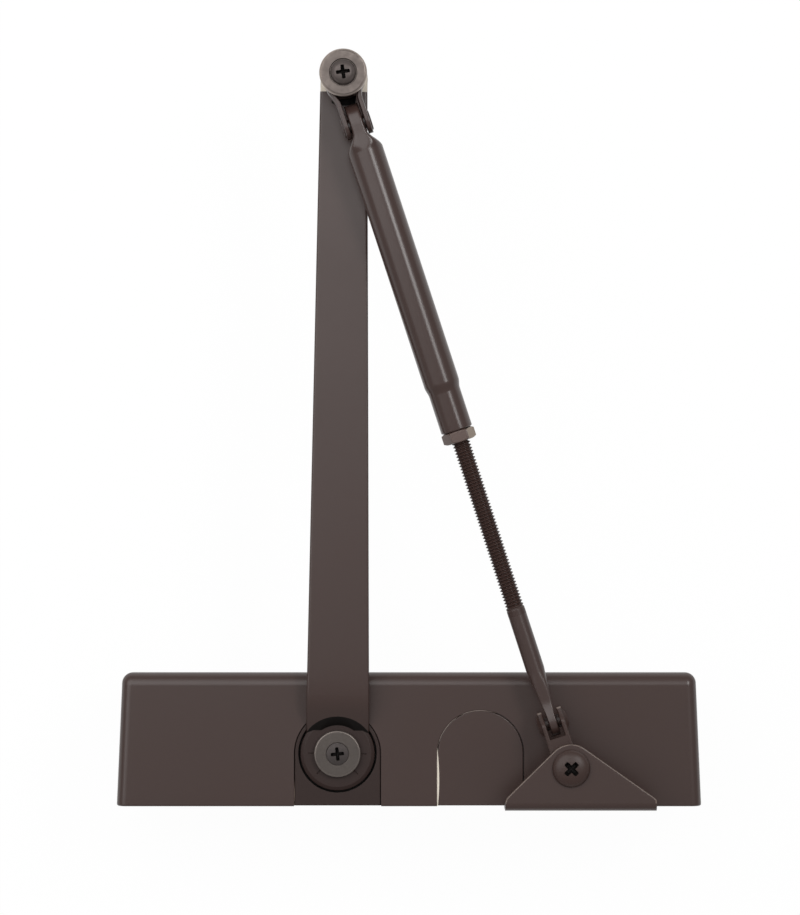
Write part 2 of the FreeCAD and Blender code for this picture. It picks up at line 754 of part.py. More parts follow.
def spindle_rings():
    seals = []
    bore = "journal_radius + run_gap"
    nut_bottom = "boss_height - nut_height"
    for label, flip in (("upper", 0), ("lower", 180)):
        place = FreeCAD.Placement(FreeCAD.Vector(spindle_x, spindle_y, 0),
                                  FreeCAD.Rotation(FreeCAD.Vector(1, 0, 0), flip))
        bearing = new_body(label + "_bearing")
        low = "bearing_bottom"
        high = "bearing_bottom + bearing_height"
        rim = "boss_bore - fit_gap"
        turn(bearing, "V_Axis", [(bore, low), (rim, low), (rim, high), (bore, high)])
        bearing.Placement = place
        nut = new_body(label + "_spindle_nut")
        inner = "journal_radius + face_gap * 3"
        ring = [(inner, nut_bottom), (rim, nut_bottom), (rim, "boss_height"), (inner, "boss_height")]
        turn(nut, "V_Axis", ring)
        middle = "boss_height - nut_height / 2"
        groove = box("journal_radius", middle + " - seal_section / 2 - face_gap",
                     inner + " + seal_section", middle + " + seal_section / 2 + face_gap")
        turn_cut(nut, "V_Axis", groove)
        notch_offset = "(boss_bore + journal_radius) / 2"
        notches = [(side + notch_offset, "0", "seal_section * 0.7") for side in ("", "-")]
        cut(nut, "XY_Plane", "boss_height - seal_section / 2", "seal_section", *notches)
        nut.Placement = place
        seal = torus(label + "_seal", inner + " + seal_section / 2", "seal_section / 2")
        lift = size(middle) if flip == 0 else -size(middle)
        seal.Placement = at(spindle_x, spindle_y, lift)
        seals.append(seal)
    group("spindle_seals", seals)


# Piston: a rack cut in the front wall of its window, with a check ball in the far head
def piston():
    body = new_body("piston")
    rim = "bore_radius - run_gap"
    turn(body, "H_Axis",
         [("-piston_left", "0"), ("piston_right", "0"), ("piston_right", rim), ("-piston_left", rim)])
    start = "spindle_offset - window_start"
    end = "spindle_offset + window_end"
    back = "%s + gear_module * 1.25" % pitch_radius
    cut(body, "XY_Plane", "-bore_radius", "bore_radius * 2", box(start, "-(%s)" % rack_root, end, back))
    slope = math.tan(math.radians(20))
    pitch = math.pi * size("gear_module")
    half = pitch / 4 - size("tooth_play") / 2
    tip = half - size("rack_addendum") * slope
    root = half + (size(rack_root) - size(pitch_radius)) * slope
    first = size("spindle_offset") - pitch
    rack_tip = "rack_addendum - %s" % pitch_radius
    tooth = pad(body, "XY_Plane", "-rack_half", "rack_half * 2", [
        (number(first - root), "-(%s) - face_gap" % rack_root),
        (number(first + root), "-(%s) - face_gap" % rack_root),
        (number(first + tip), rack_tip),
        (number(first - tip), rack_tip),
    ])
    doc.recompute()
    rack = body.newObject("PartDesign::LinearPattern", "Rack")
    rack.Originals = [tooth]
    rack.Direction = (origin_feature(body, "X_Axis"), [""])
    rack.Length = pitch * (size("rack_teeth") - 1)
    rack.setExpression("Occurrences", bound("rack_teeth"))
    body.Tip = rack
    pocket = "check_ball_radius + run_gap"
    depth = "check_ball_radius * 2.5"
    cut(body, "YZ_Plane", "piston_right - " + depth, depth, ("check_ball_offset", "0", pocket))
    body.Placement = on_barrel
    ball = doc.addObject("Part::Sphere", "check_ball")
    ball.Label = "check_ball"
    ball.setExpression("Radius", bound("check_ball_radius"))
    x = size("piston_right - check_ball_radius * 1.5") + size("face_gap")
    ball.Placement = at(x, spindle_y + size("check_ball_offset"), 0)
    nodes["check_ball"] = ball


# Main arm: a tapered bar that steps down to a hub on the spindle and to an eye at the elbow
def main_arm():
    body = new_body("main_arm")
    tip = "arm_length - horn_reach"
    pad(body, "XY_Plane", "arm_bottom", "arm_thick", [
        ("0", "-arm_root_width / 2"),
        (tip, "-arm_tip_width / 2"),
        (tip, "arm_tip_width / 2"),
        ("0", "arm_root_width / 2"),
    ])
    pad(body, "XY_Plane", "hub_bottom", "arm_bottom + hub_chamfer - hub_bottom", ("0", "0", "hub_radius"))
    root = "%s + neck_clear" % cover_top
    pad(body, "XZ_Plane", "-arm_root_width * 0.45", "arm_root_width * 0.9", [
        ("hub_radius / 2", root),
        ("hub_radius", root),
        ("neck_run", "arm_bottom"),
        ("neck_run", "arm_bottom + hub_chamfer"),
        ("hub_radius / 2", "arm_bottom + hub_chamfer"),
    ])
    pad(body, "XY_Plane", "eye_bottom", "eye_thick", ("arm_length", "0", "eye_radius"))
    neck = "arm_length - eye_neck_run"
    pad(body, "XZ_Plane", "-eye_neck_width / 2", "eye_neck_width", [
        (neck, "arm_bottom"),
        ("arm_length - eye_neck_run * 0.6", "eye_bottom"),
        ("arm_length", "eye_bottom"),
        ("arm_length", eye_top),
        (neck, eye_top),
    ])
    cut(body, "XY_Plane", eye_top, "arm_thick * 2", ("arm_length", "0", "eye_spot_radius"))
    cut(body, "XZ_Plane", "-hub_radius * 1.2", "hub_radius * 2.4", [
        ("slope_run", arm_top),
        ("slope_foot", "hub_top"),
        ("-hub_radius * 1.2", "hub_top"),
        ("-hub_radius * 1.2", arm_top + " + arm_bevel"),
        ("slope_run", arm_top + " + arm_bevel"),
    ])
    turn_cut(body, "V_Axis", [
        ("0", "hub_top"),
        ("spot_foot", "hub_top"),
        ("spot_mouth", "hub_top + spot_rise"),
        ("spot_mouth", arm_top + " + arm_bevel"),
        ("0", arm_top + " + arm_bevel"),
    ])
    turn_cut(body, "V_Axis", [
        ("hub_chamfer - hub_radius", "hub_top"),
        ("-hub_radius", "hub_top - hub_chamfer * 0.6"),
        ("-hub_radius - hub_chamfer", "hub_top - hub_chamfer * 0.6"),
        ("-hub_radius - hub_chamfer", "hub_top"),
    ], 240)
    half = "square_side / 2 + fit_gap"
    square = box("-(%s)" % half, "-(%s)" % half, half, half)
    cut(body, "XY_Plane", "hub_bottom", "hub_top - hub_bottom", square)
    cut(body, "XY_Plane", "eye_bottom", "eye_thick", ("arm_length", "0", "stud_foot_radius + fit_gap"))
    long_edge = size("arm_length") / 2
    top = size(arm_top)
    soften(body, "Chamfer", "arm_bevel",
           lambda edge: edge.Length > long_edge and abs(edge.CenterOfMass.z - top) < size("fit_gap"))
    body.Placement = on_arm


def spindle_fastening():
    washer = new_body("arm_washer")
    hole = "screw_radius + face_gap * 2"
    sink = "flat_head_radius + face_gap * 2"
    turn(washer, "V_Axis", [
        (hole, "hub_top"),
        ("washer_radius", "hub_top"),
        ("washer_radius", flat_head_top + " - washer_chamfer"),
        ("washer_radius - washer_chamfer", flat_head_top),
        (sink, flat_head_top),
        (hole, flat_head_top + " - washer_thick * 0.8"),
    ])
    washer.Placement = on_arm
    screw = new_body("arm_screw")
    turn(screw, "V_Axis", [
        ("0", "journal_half"),
        ("screw_radius", "journal_half"),
        ("screw_radius", flat_head_top + " - washer_thick * 0.8"),
        ("flat_head_radius", flat_head_top),
        ("flat_head_radius * 0.9", flat_head_top + " + face_gap * 2"),
        ("0", flat_head_top + " + face_gap * 4"),
    ])
    cross_recess(screw, flat_head_top + " + face_gap * 4", "flat_head_radius * 0.58")
    screw.Placement = on_arm


# Elbow: a stud riveted into the arm's eye, with the washer and screw that hold the knuckle on it
def elbow_fastening():
    stud = new_body("elbow_stud")
    tap = "screw_radius + run_gap"
    turn(stud, "V_Axis", [
        ("0", "eye_bottom - stud_head_height"),
        ("stud_head_radius * 0.8", "eye_bottom - stud_head_height"),
        ("stud_head_radius", "eye_bottom - stud_head_height / 2"),
        ("stud_head_radius", "eye_bottom"),
        ("stud_foot_radius", "eye_bottom"),
        ("stud_foot_radius", eye_top),
        ("stud_radius", eye_top),
        ("stud_radius", stud_top),
        (tap, stud_top),
        (tap, "knuckle_top - stud_radius * 2"),
        ("0", "knuckle_top - stud_radius * 2"),
    ])
    thrust = new_body("thrust_washer")
    bore = "stud_radius + run_gap"
    rim = "knuckle_radius - face_gap * 2"
    thrust_top = eye_top + " + thrust_thick"
    turn(thrust, "V_Axis", [(bore, eye_top), (rim, eye_top), (rim, thrust_top), (bore, thrust_top)])
    washer = new_body("elbow_washer")
    hole = "screw_radius + face_gap * 2"
    turn(washer, "V_Axis", [
        (hole, stud_top),
        ("elbow_washer_radius", stud_top),
        ("elbow_washer_radius", elbow_washer_top + " - washer_chamfer"),
        ("elbow_washer_radius - washer_chamfer", elbow_washer_top),
        (hole, elbow_washer_top),
    ])
    screw = new_body("elbow_screw")
    turn(screw, "V_Axis", [
        ("0", "knuckle_top - stud_radius"),
        ("screw_radius", "knuckle_top - stud_radius"),
        ("screw_radius", elbow_washer_top),
        ("pan_head_radius", elbow_washer_top),
        ("pan_head_radius", elbow_washer_top + " + pan_head_height * 0.5"),
        ("pan_head_radius * 0.8", elbow_washer_top + " + pan_head_height * 0.88"),
        ("0", elbow_washer_top + " + pan_head_height"),
    ])
    cross_recess(screw, elbow_washer_top + " + pan_head_height", "pan_head_radius * 0.5")
    for body in (stud, thrust, washer, screw):
        body.Placement = on_elbow


def knuckle():
    # a hub on the stud with two ears for the forearm
    body = new_body("elbow_knuckle")
    turn(body, "V_Axis", [
        ("0", knuckle_bottom),
        ("knuckle_radius", knuckle_bottom),
        ("knuckle_radius", "knuckle_top"),
        ("0", "knuckle_top"),
    ])
    low = "knuckle_pin_height - ear_radius"
    high = "knuckle_pin_height + ear_radius"
    spread = "ear_gap + ear_thick * 2"
    for lift in ("forearm_offset - (%s) / 2" % spread, "forearm_offset + ear_gap / 2"):
        pad(body, "XZ_Plane", lift, "ear_thick", box("knuckle_radius / 2", low, "knuckle_reach", high))
        pad(body, "XZ_Plane", lift, "ear_thick", ("knuckle_reach", "knuckle_pin_height", "ear_radius"))
    cut(body, "XY_Plane", knuckle_bottom, "knuckle_top", ("0", "0", "stud_radius + run_gap"))
    cut(body, "XZ_Plane", "forearm_offset - (%s)" % spread, "(%s) * 2" % spread,
        ("knuckle_reach", "knuckle_pin_height", "knuckle_pin_radius + fit_gap"))
    body.Placement = on_knuckle


def rivet(label, radius, grip, centre):
    # a rivet across the forearm, with a domed head at each end
    body = new_body(label)
    half = "(%s) / 2" % grip
    top = half + " + rivet_head_height"
    turn(body, "V_Axis", [
        ("0", "-(%s)" % top),
        ("rivet_head_radius * 0.6", "-(%s)" % top),
        ("rivet_head_radius", "-(%s)" % half),
        (radius, "-(%s)" % half),
        (radius, half),
        ("rivet_head_radius", half),
        ("rivet_head_radius * 0.6", top),
        ("0", top),
    ])
    swing = FreeCAD.Rotation(FreeCAD.Vector(0, 0, 1), forearm_yaw)
    across = FreeCAD.Rotation(FreeCAD.Vector(1, 0, 0), 90)
    body.Placement = FreeCAD.Placement(centre, swing.multiply(across))


# Forearm: a tube flattened to a tongue at the knuckle and drawn in to a threaded sleeve
def forearm_tube():
    body = new_body("forearm_tube")
    turn(body, "H_Axis", [
        ("0", "0"),
        ("sleeve_end", "0"),
        ("sleeve_end", "sleeve_radius"),
        ("neck_end", "sleeve_radius"),
        ("tube_end", "tube_radius"),
        ("0", "tube_radius"),
    ])
    tongue = "tongue_thick / 2"
    run = "(shoulder_end - shoulder_start)"
    rise = "(tube_radius - tongue_thick / 2)"
    clear = "tube_radius * 1.2"
    for side in ("", "-"):
        cut(body, "XY_Plane", "-" + clear, clear + " * 2", [
            ("-tube_radius", "%s(%s)" % (side, tongue)),
            ("shoulder_start", "%s(%s)" % (side, tongue)),
            ("shoulder_start + %s * 0.3" % run, "%s(%s + %s * 0.18)" % (side, tongue, rise)),
            ("shoulder_start + %s * 0.6" % run, "%s(%s + %s * 0.65)" % (side, tongue, rise)),
            ("shoulder_start + %s * 0.8" % run, "%s(%s + %s * 0.9)" % (side, tongue, rise)),
            ("shoulder_end", "%s(tube_radius)" % side),
            ("shoulder_end", "%s(%s)" % (side, clear)),
            ("-tube_radius", "%s(%s)" % (side, clear)),
        ])
    pad(body, "XZ_Plane", "-tongue_thick / 2", "tongue_thick", ("0", "0", "tongue_radius"))
    cut(body, "XZ_Plane", "-tongue_thick", "tongue_thick * 2", ("0", "0", "knuckle_pin_radius + run_gap"))
    thread = "thread_radius + run_gap"
    turn_cut(body, "H_Axis", [
        ("tube_hollow_start", "0"),
        ("sleeve_end", "0"),
        ("sleeve_end", thread),
        ("tube_end", thread),
        ("tube_end - tube_hollow_radius / 2", "tube_hollow_radius"),
        ("tube_hollow_start", "tube_hollow_radius"),
    ])
    body.Placement = on_forearm


def jam_nut():
    body = new_body("jam_nut")
    face = "sleeve_end + fit_gap"
    pad(body, "YZ_Plane", face, "jam_nut_height", hexagon("jam_nut_flats"))
    corner = "jam_nut_flats / sqrt(3)"
    flat = "jam_nut_flats / 2"
    drop = "jam_nut_flats * 0.045"
    far = face + " + jam_nut_height"
    turn_cut(body, "H_Axis", [
        (far, flat),
        ("%s - %s" % (far, drop), corner),
        ("%s - %s" % (far, drop), corner + " * 1.1"),
        (far, corner + " * 1.1"),
    ])
    cut(body, "YZ_Plane", face, "jam_nut_height", ("0", "0", "thread_radius + run_gap"))
    body.Placement = on_forearm


def forearm_rod():
    # a threaded rod whose far end is hammered flat for the clevis pin
    body = new_body("forearm_rod")
    flat_start = "pin_span - rod_taper"
    flat_end = "pin_span - rod_tongue_run"
    tongue = "rod_tongue_thick / 2"
    turn(body, "H_Axis", [
        ("thread_start", "0"),
        (flat_end, "0"),
        (flat_end, "shank_radius"),
        ("thread_end", "shank_radius"),
        ("thread_end", "thread_radius"),
        ("thread_start", "thread_radius"),
    ])
    clear = "shank_radius * 1.5"
    for side in ("", "-"):
        cut(body, "XY_Plane", "-" + clear, clear + " * 2", [
            (flat_start, "%s(shank_radius)" % side),
            (flat_end, "%s(%s)" % (side, tongue)),
            (flat_end, "%s(%s)" % (side, clear)),
            (flat_start, "%s(%s)" % (side, clear)),
        ])
    pad(body, "XZ_Plane", "-" + tongue, "rod_tongue_thick", [
        (flat_start, "-shank_radius * 0.5"),
        (flat_end, "-shank_radius"),
        ("pin_span", "-rod_tongue_radius"),
        ("pin_span", "rod_tongue_radius"),
        (flat_end, "shank_radius"),
        (flat_start, "shank_radius * 0.5"),
    ])
    pad(body, "XZ_Plane", "-" + tongue, "rod_tongue_thick", ("pin_span", "0", "rod_tongue_radius"))
    cut(body, "XZ_Plane", "-rod_tongue_thick", "rod_tongue_thick * 2",
        ("pin_span", "0", "clevis_pin_radius + run_gap"))
    body.Placement = on_forearm


# Clevis: a bent strip that swivels under the shoe, with two ears turned down to the rod
def shoe_clevis():
    body = new_body("shoe_clevis")
    spread = "clevis_gap + clevis_ear_thick * 2"
    pin = "-clevis_reach"
    tip = "-clevis_reach - clevis_ear_radius"
    pad(body, "XY_Plane", web_bottom, "clevis_web_thick", ("0", "0", "clevis_disc_radius"))
    web_low = "-forearm_offset - (%s) / 2" % spread
    web_high = "-forearm_offset + (%s) / 2" % spread
    pad(body, "XY_Plane", web_bottom, "clevis_web_thick", box("-clevis_web_end", web_low, "0", web_high))
    heel = "-clevis_disc_radius - shoe_washer_thick"
    for lift in ("forearm_offset - (%s) / 2" % spread, "forearm_offset + clevis_gap / 2"):
        pad(body, "XZ_Plane", lift, "clevis_ear_thick", [
            (heel, web_top),
            (pin, web_top),
            (tip, "clevis_pin_height + clevis_ear_radius / 3"),
            (tip, "clevis_pin_height"),
            (pin, "clevis_pin_height - clevis_ear_radius"),
            (heel, web_bottom),
        ])
        pad(body, "XZ_Plane", lift, "clevis_ear_thick", (pin, "clevis_pin_height", "clevis_ear_radius"))
    cut(body, "XY_Plane", web_bottom, "clevis_web_thick", ("0", "0", "bolt_radius + run_gap"))
    cut(body, "XZ_Plane", "forearm_offset - (%s)" % spread, "(%s) * 2" % spread,
        (pin, "clevis_pin_height", "clevis_pin_radius + fit_gap"))
    body.Placement = on_clevis


def tangent_point(corner_x, corner_y, centre_y, radius, side):
    # where the line from a corner touches the round apex
    away = math.hypot(corner_x, corner_y - centre_y)
    heading = math.atan2(corner_y - centre_y, corner_x)
    angle = heading - side * math.acos(radius / away)
    return number(radius * math.cos(angle)), number(centre_y + radius * math.sin(angle))


# Shoe: a three-cornered plate with a flange turned down against the frame
def shoe():
    body = new_body("shoe")
    bolt = "-shoe_setback"
    near = ("shoe_near_half", "-shoe_shoulder")
    far = ("-shoe_far_half", "-shoe_shoulder")
    apex = size("shoe_apex_radius")
    near_touch = tangent_point(size(near[0]), size(near[1]), size(bolt), apex, 1)
    far_touch = tangent_point(size(far[0]), size(far[1]), size(bolt), apex, -1)
    pad(body, "XY_Plane", shoe_bottom, "shoe_thick",
        [("shoe_near_half", "0"), near, near_touch, far_touch, far, ("-shoe_far_half", "0")])
    pad(body, "XY_Plane", shoe_bottom, "shoe_thick", ("0", bolt, "shoe_apex_radius"))
    pad(body, "XZ_Plane", "0", "shoe_thick",
        box("-shoe_far_half", "shoe_top - shoe_flange", "shoe_near_half", "shoe_top"))
    thick = size("shoe_thick")
    top = size("shoe_top")
    close = size("fit_gap")
    soften(body, "Fillet", "shoe_bend",
           lambda e: abs(e.CenterOfMass.y) < close and abs(e.CenterOfMass.z - top) < close)
    soften(body, "Fillet", "shoe_bend - shoe_thick * 0.8",
           lambda e: abs(e.CenterOfMass.y + thick) < close and abs(e.CenterOfMass.z - top + thick) < close)
    cut(body, "XY_Plane", shoe_bottom, "shoe_thick", ("0", bolt, "bolt_radius + face_gap * 3"))
    middle = "(shoe_near_half - shoe_far_half) / 2"
    holes = [("%s %s shoe_hole_pitch / 2" % (middle, sign), "shoe_top - shoe_hole_drop", "shoe_hole_radius")
             for sign in ("+", "-")]
    cut(body, "XZ_Plane", "0", "shoe_thick", *holes)
    body.Placement = on_shoe


def shoe_fastening():
    bolt = new_body("shoe_bolt")
    low = web_bottom + " - shoe_nut_height * 1.15"
    turn(bolt, "V_Axis", [
        ("0", low),
        ("bolt_radius", low),
        ("bolt_radius", "shoe_top"),
        ("bolt_head_radius", "shoe_top"),
        ("bolt_head_radius * 0.94", "shoe_top + bolt_head_height * 0.35"),
        ("bolt_head_radius * 0.7", "shoe_top + bolt_head_height * 0.74"),
        ("bolt_head_radius * 0.35", "shoe_top + bolt_head_height * 0.95"),
        ("0", "shoe_top + bolt_head_height"),
    ])
    cross_recess(bolt, "shoe_top + bolt_head_height", "bolt_head_radius * 0.35")
    bolt.Placement = on_bolt
    nut = new_body("shoe_nut")
    bottom = web_bottom + " - face_gap - shoe_nut_height"
    pad(nut, "XY_Plane", bottom, "shoe_nut_height", hexagon("shoe_nut_flats"))
    cut(nut, "XY_Plane", bottom, "shoe_nut_height", ("0", "0", "bolt_radius + fit_gap"))
    nut.Placement = on_bolt
    washer = new_body("shoe_washer")
    hole = "bolt_radius + face_gap * 3"
    rim = "clevis_disc_radius - face_gap * 5"
    turn(washer, "V_Axis", [(hole, web_top), (rim, web_top), (rim, shoe_bottom), (hole, shoe_bottom)])
    washer.Placement = on_bolt


cover()
inserts()
cover_screws()
casting()
end_caps()
spring_set()
valves()
pinion()
spindle_rings()
piston()
main_arm()
spindle_fastening()
elbow_fastening()
knuckle()
rivet("knuckle_pin", "knuckle_pin_radius", "ear_gap + ear_thick * 2", knuckle_pin_at)
forearm_tube()
jam_nut()
forearm_rod()
shoe_clevis()
rivet("clevis_pin", "clevis_pin_radius", "clevis_gap + clevis_ear_thick * 2", clevis_pin_at)
shoe()
shoe_fastening()
doc.recompute()

# Every feature is sound and every piece is a closed solid before anything is written
for item in doc.Objects:
    if "Invalid" in item.State or "Error" in item.State:
        raise ValueError("%s failed: %s" % (item.Label, item.State))
for name, item in nodes.items():
    if item.Shape.isNull() or not item.Shape.isValid() or not item.Shape.Solids:
        raise ValueError("%s has no valid solid" % name)

os.makedirs("parts", exist_ok=True)
for name, item in nodes.items():
    item.Shape.exportStep("parts/%s.step" % name)
    print(name, len(item.Shape.Solids), round(item.Shape.Volume, 1))
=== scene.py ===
import math

import bmesh
import bpy
import numpy as np
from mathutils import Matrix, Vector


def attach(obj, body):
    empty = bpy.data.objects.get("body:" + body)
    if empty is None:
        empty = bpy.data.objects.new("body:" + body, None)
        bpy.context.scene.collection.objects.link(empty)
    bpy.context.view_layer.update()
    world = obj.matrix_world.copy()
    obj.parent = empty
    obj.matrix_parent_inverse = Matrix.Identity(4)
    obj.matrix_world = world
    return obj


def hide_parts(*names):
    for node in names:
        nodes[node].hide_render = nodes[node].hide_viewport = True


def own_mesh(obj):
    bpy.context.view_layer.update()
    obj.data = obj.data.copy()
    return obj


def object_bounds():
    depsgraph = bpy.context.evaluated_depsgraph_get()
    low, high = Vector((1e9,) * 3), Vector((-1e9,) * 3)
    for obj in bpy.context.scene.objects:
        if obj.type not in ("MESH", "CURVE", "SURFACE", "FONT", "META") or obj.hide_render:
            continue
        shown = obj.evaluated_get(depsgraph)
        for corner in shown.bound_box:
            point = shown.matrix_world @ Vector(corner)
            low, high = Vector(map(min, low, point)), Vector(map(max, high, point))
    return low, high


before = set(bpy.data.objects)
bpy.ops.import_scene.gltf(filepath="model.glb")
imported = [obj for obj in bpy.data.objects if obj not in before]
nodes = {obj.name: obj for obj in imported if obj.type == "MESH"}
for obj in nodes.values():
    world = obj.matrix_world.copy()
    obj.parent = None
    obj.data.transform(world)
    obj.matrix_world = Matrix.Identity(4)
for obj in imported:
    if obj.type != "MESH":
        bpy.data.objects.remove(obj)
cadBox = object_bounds()
print("frame loaded,", len(nodes), "pieces of the closer")

mm = 0.001
tiny = 1e-9
white = (1.0, 1.0, 1.0, 1.0)

# where the pieces stand, in mm: X along the door, Y into the door, Z up the spindle
places = {
    "spindle": (31.0, -23.0),
    "blank": (-31.0, -23.0),
    "elbow": (28.094, -315.086),
    "shoeBolt": (-69.27, -18.35),
    "armYaw": -90.57,
    "forearmYaw": 108.165,
    "forearmDip": 2.226,
    "knucklePin": (22.376, -293.808, 56.0),
}


def addObject(name, data):
    made = bpy.data.objects.new(name, data)
    bpy.context.scene.collection.objects.link(made)
    return made


# the photo looks straight down the spindle, with the door side at the bottom; clip is in metres
photoView = {
    "centre": (3.9, -151.26), "eye": 1685.0, "distance": 1650.0, "tall": 396.6, "sensor": 36.0,
    "clip": (0.05, 20.0),
}


def photoCamera():
    view = photoView
    data = bpy.data.cameras.new("photoCamera")
    data.sensor_width = view["sensor"]
    data.lens = view["sensor"] * view["distance"] / view["tall"]
    data.clip_start, data.clip_end = view["clip"]
    camera = addObject("photoCamera", data)
    x, y = view["centre"]
    camera.location = (x * mm, y * mm, view["eye"] * mm)
    camera.rotation_euler = (0.0, 0.0, math.pi)
    bpy.context.scene.camera = camera


# materials

def toLinear(code):
    # sRGB hex to linear RGBA
    parts = np.array([int(code[i:i + 2], 16) for i in (1, 3, 5)]) / 255.0
    low = parts / 12.92
    high = ((parts + 0.055) / 1.055) ** 2.4
    return (*np.where(parts <= 0.04045, low, high), 1.0)


def perSize(size):
    # texture scale for a pattern of this size in mm, on coordinates in metres
    return 1.0 / (size * mm)


def addNode(tree, kind, values=None, links=None, **fields):
    # one shader node with its own fields, the values of its sockets and the sockets that feed it
    node = tree.nodes.new("ShaderNode" + kind)
    for field, value in fields.items():
        setattr(node, field, value)
    for socket, value in (values or {}).items():
        node.inputs[socket].default_value = value
    for socket, source in (links or {}).items():
        tree.links.new(source, node.inputs[socket])
    return node


def emptyMaterial(name):
    material = bpy.data.materials.new(name)
    material.use_nodes = True
    material.node_tree.nodes.clear()
    return material, material.node_tree


def startCoat(name, look):
    # a shader over two noises: a broad one shifts colour and roughness, a fine one lifts the surface;
    # metal, index and sheen are set where the look has them
    material, tree = emptyMaterial(name)
    named = {"metallic": "Metallic", "index": "IOR", "sheen": "Specular IOR Level"}
    where = addNode(tree, "TexCoord").outputs["Object"]
    broad = addNode(tree, "TexNoise",
            {"Scale": perSize(look["mottle"]), "Detail": 4.0, "Roughness": 0.6}, {"Vector": where})
    colour = addNode(tree, "Mix", {6: toLinear(look["light"]), 7: toLinear(look["dark"])},
            {0: broad.outputs["Fac"]}, data_type="RGBA")
    fine = addNode(tree, "TexNoise",
            {"Scale": perSize(look["grain"]), "Detail": 3.0, "Roughness": 0.55}, {"Vector": where})
    gloss = addNode(tree, "MapRange",
            {"From Min": 0.3, "From Max": 0.7, "To Min": look["smooth"], "To Max": look["rough"]},
            {"Value": broad.outputs["Fac"]})
    bump = addNode(tree, "Bump", {"Strength": look["lift"], "Distance": look["depth"] * mm},
            {"Height": fine.outputs["Fac"]})
    shader = addNode(tree, "BsdfPrincipled", {named[key]: look[key] for key in named if key in look},
            {"Base Color": colour.outputs[2], "Roughness": gloss.outputs["Result"],
            "Normal": bump.outputs["Normal"]})
    addNode(tree, "OutputMaterial", links={"Surface": shader.outputs["BSDF"]})
    return material, tree, shader, where, colour.outputs[2]


def plainCoat(name, look):
    return startCoat(name, look)[0]


def turnedCoat(name, look, at):
    # fine rings about the axis, and a paler rim that is a painted highlight: distance from the axis blends
    # two greys
    material, tree, shader, where, colour = startCoat(name, look)
    x, y = places[at]
    home = addNode(tree, "Mapping", {"Location": (-x * mm, -y * mm, 0.0)}, {"Vector": where})
    rings = addNode(tree, "TexWave",
            {"Scale": perSize(look["ring"]) / math.pi, "Distortion": look["waver"],
            "Detail": 2.0, "Detail Scale": 0.4},
            {"Vector": home.outputs["Vector"]}, wave_type="RINGS", rings_direction="Z")
    cutBump = addNode(tree, "Bump", {"Strength": look["cutLift"], "Distance": look["cutDepth"] * mm},
            {"Height": rings.outputs["Fac"]})
    tree.links.new(cutBump.outputs["Normal"], shader.inputs["Normal"])
    plan = addNode(tree, "VectorMath", {1: (1.0, 1.0, 0.0)}, {0: home.outputs["Vector"]},
            operation="MULTIPLY")
    reach = addNode(tree, "VectorMath", {}, {0: plan.outputs["Vector"]}, operation="LENGTH")
    band = addNode(tree, "MapRange",
            {"From Min": look["highlightFrom"] * mm, "From Max": look["highlightTo"] * mm},
            {"Value": reach.outputs["Value"]}, interpolation_type="SMOOTHSTEP")
    paintedHighlight = addNode(tree, "Mix", {7: toLinear(look["rim"])},
            {0: band.outputs["Result"], 6: colour}, data_type="RGBA")
    tree.links.new(paintedHighlight.outputs[2], shader.inputs["Base Color"])
    return material


# polyester enamel, sprayed and baked: satin brown with a faint orange peel
bronzeLook = {
    "light": "#41312d", "dark": "#392a26", "mottle": 60.0, "grain": 0.9,
    "smooth": 0.28, "rough": 0.34, "lift": 0.2, "depth": 0.02, "index": 1.5, "sheen": 0.5,
}
bronze = plainCoat("bakedBronzeEnamel", bronzeLook)
# the same enamel darker and duller: painted shade on the arm's hub floor and the spindle's insert
shadedBronze = plainCoat("shadedBronzeEnamel", {
    **bronzeLook, "light": "#2e1f1b", "dark": "#281a17", "smooth": 0.42, "rough": 0.52, "sheen": 0.3})
# over drawn tube: smoother; on the nut: paler; darker and duller on the bolt, the clevis, its pin and the
# rod's thread, as painted shade
tubeBronze = plainCoat("tubeBronzeEnamel", {**bronzeLook, "smooth": 0.23, "rough": 0.28})
nutBronze = plainCoat("nutBronzeEnamel", {**bronzeLook, "light": "#604f49", "dark": "#51423d"})
shadedBoltBronze = plainCoat("shadedBoltBronzeEnamel", {
    **bronzeLook, "light": "#3b2924", "dark": "#34241f", "smooth": 0.38, "rough": 0.46, "sheen": 0.4})
# pale: painted highlight along the plates' edges, on the clevis ears' tips and round the shoe's top
paintedHighlightBronze = plainCoat("paintedHighlightBronzeEnamel", {
    **bronzeLook, "light": "#78685f", "dark": "#5f5048", "mottle": 3.0})

# near black and matt: painted shade in driver crosses, the arm's spot face cone, the gap round the spindle's
# hub and between the knuckle's ears
paintedShade = plainCoat("paintedShadeBlack", {
    "light": "#0f0a08", "dark": "#080504", "mottle": 2.0, "grain": 0.3,
    "smooth": 0.60, "rough": 0.75, "lift": 0.2, "depth": 0.03, "sheen": 0.2})

# steel blackened in a hot oxide bath: nearly black, oily, a little brown
black = plainCoat("blackOxideSteel", {
    "light": "#2c2625", "dark": "#1d1918", "mottle": 4.0, "grain": 0.35,
    "smooth": 0.34, "rough": 0.50, "lift": 0.2, "depth": 0.02, "metallic": 0.35})

# steel turned in a lathe and zinc plated: grey with fine rings about its own axis
zincLook = {
    "light": "#746b66", "dark": "#504946", "mottle": 3.0, "grain": 0.25,
    "smooth": 0.28, "rough": 0.46, "lift": 0.15, "depth": 0.02, "metallic": 0.85,
    "ring": 0.45, "waver": 1.5, "cutLift": 0.35, "cutDepth": 0.03,
    # the paler rim colour, a painted highlight, and the radii between which it blends in
    "rim": "#a2968e", "highlightFrom": 9.2, "highlightTo": 9.8,
}
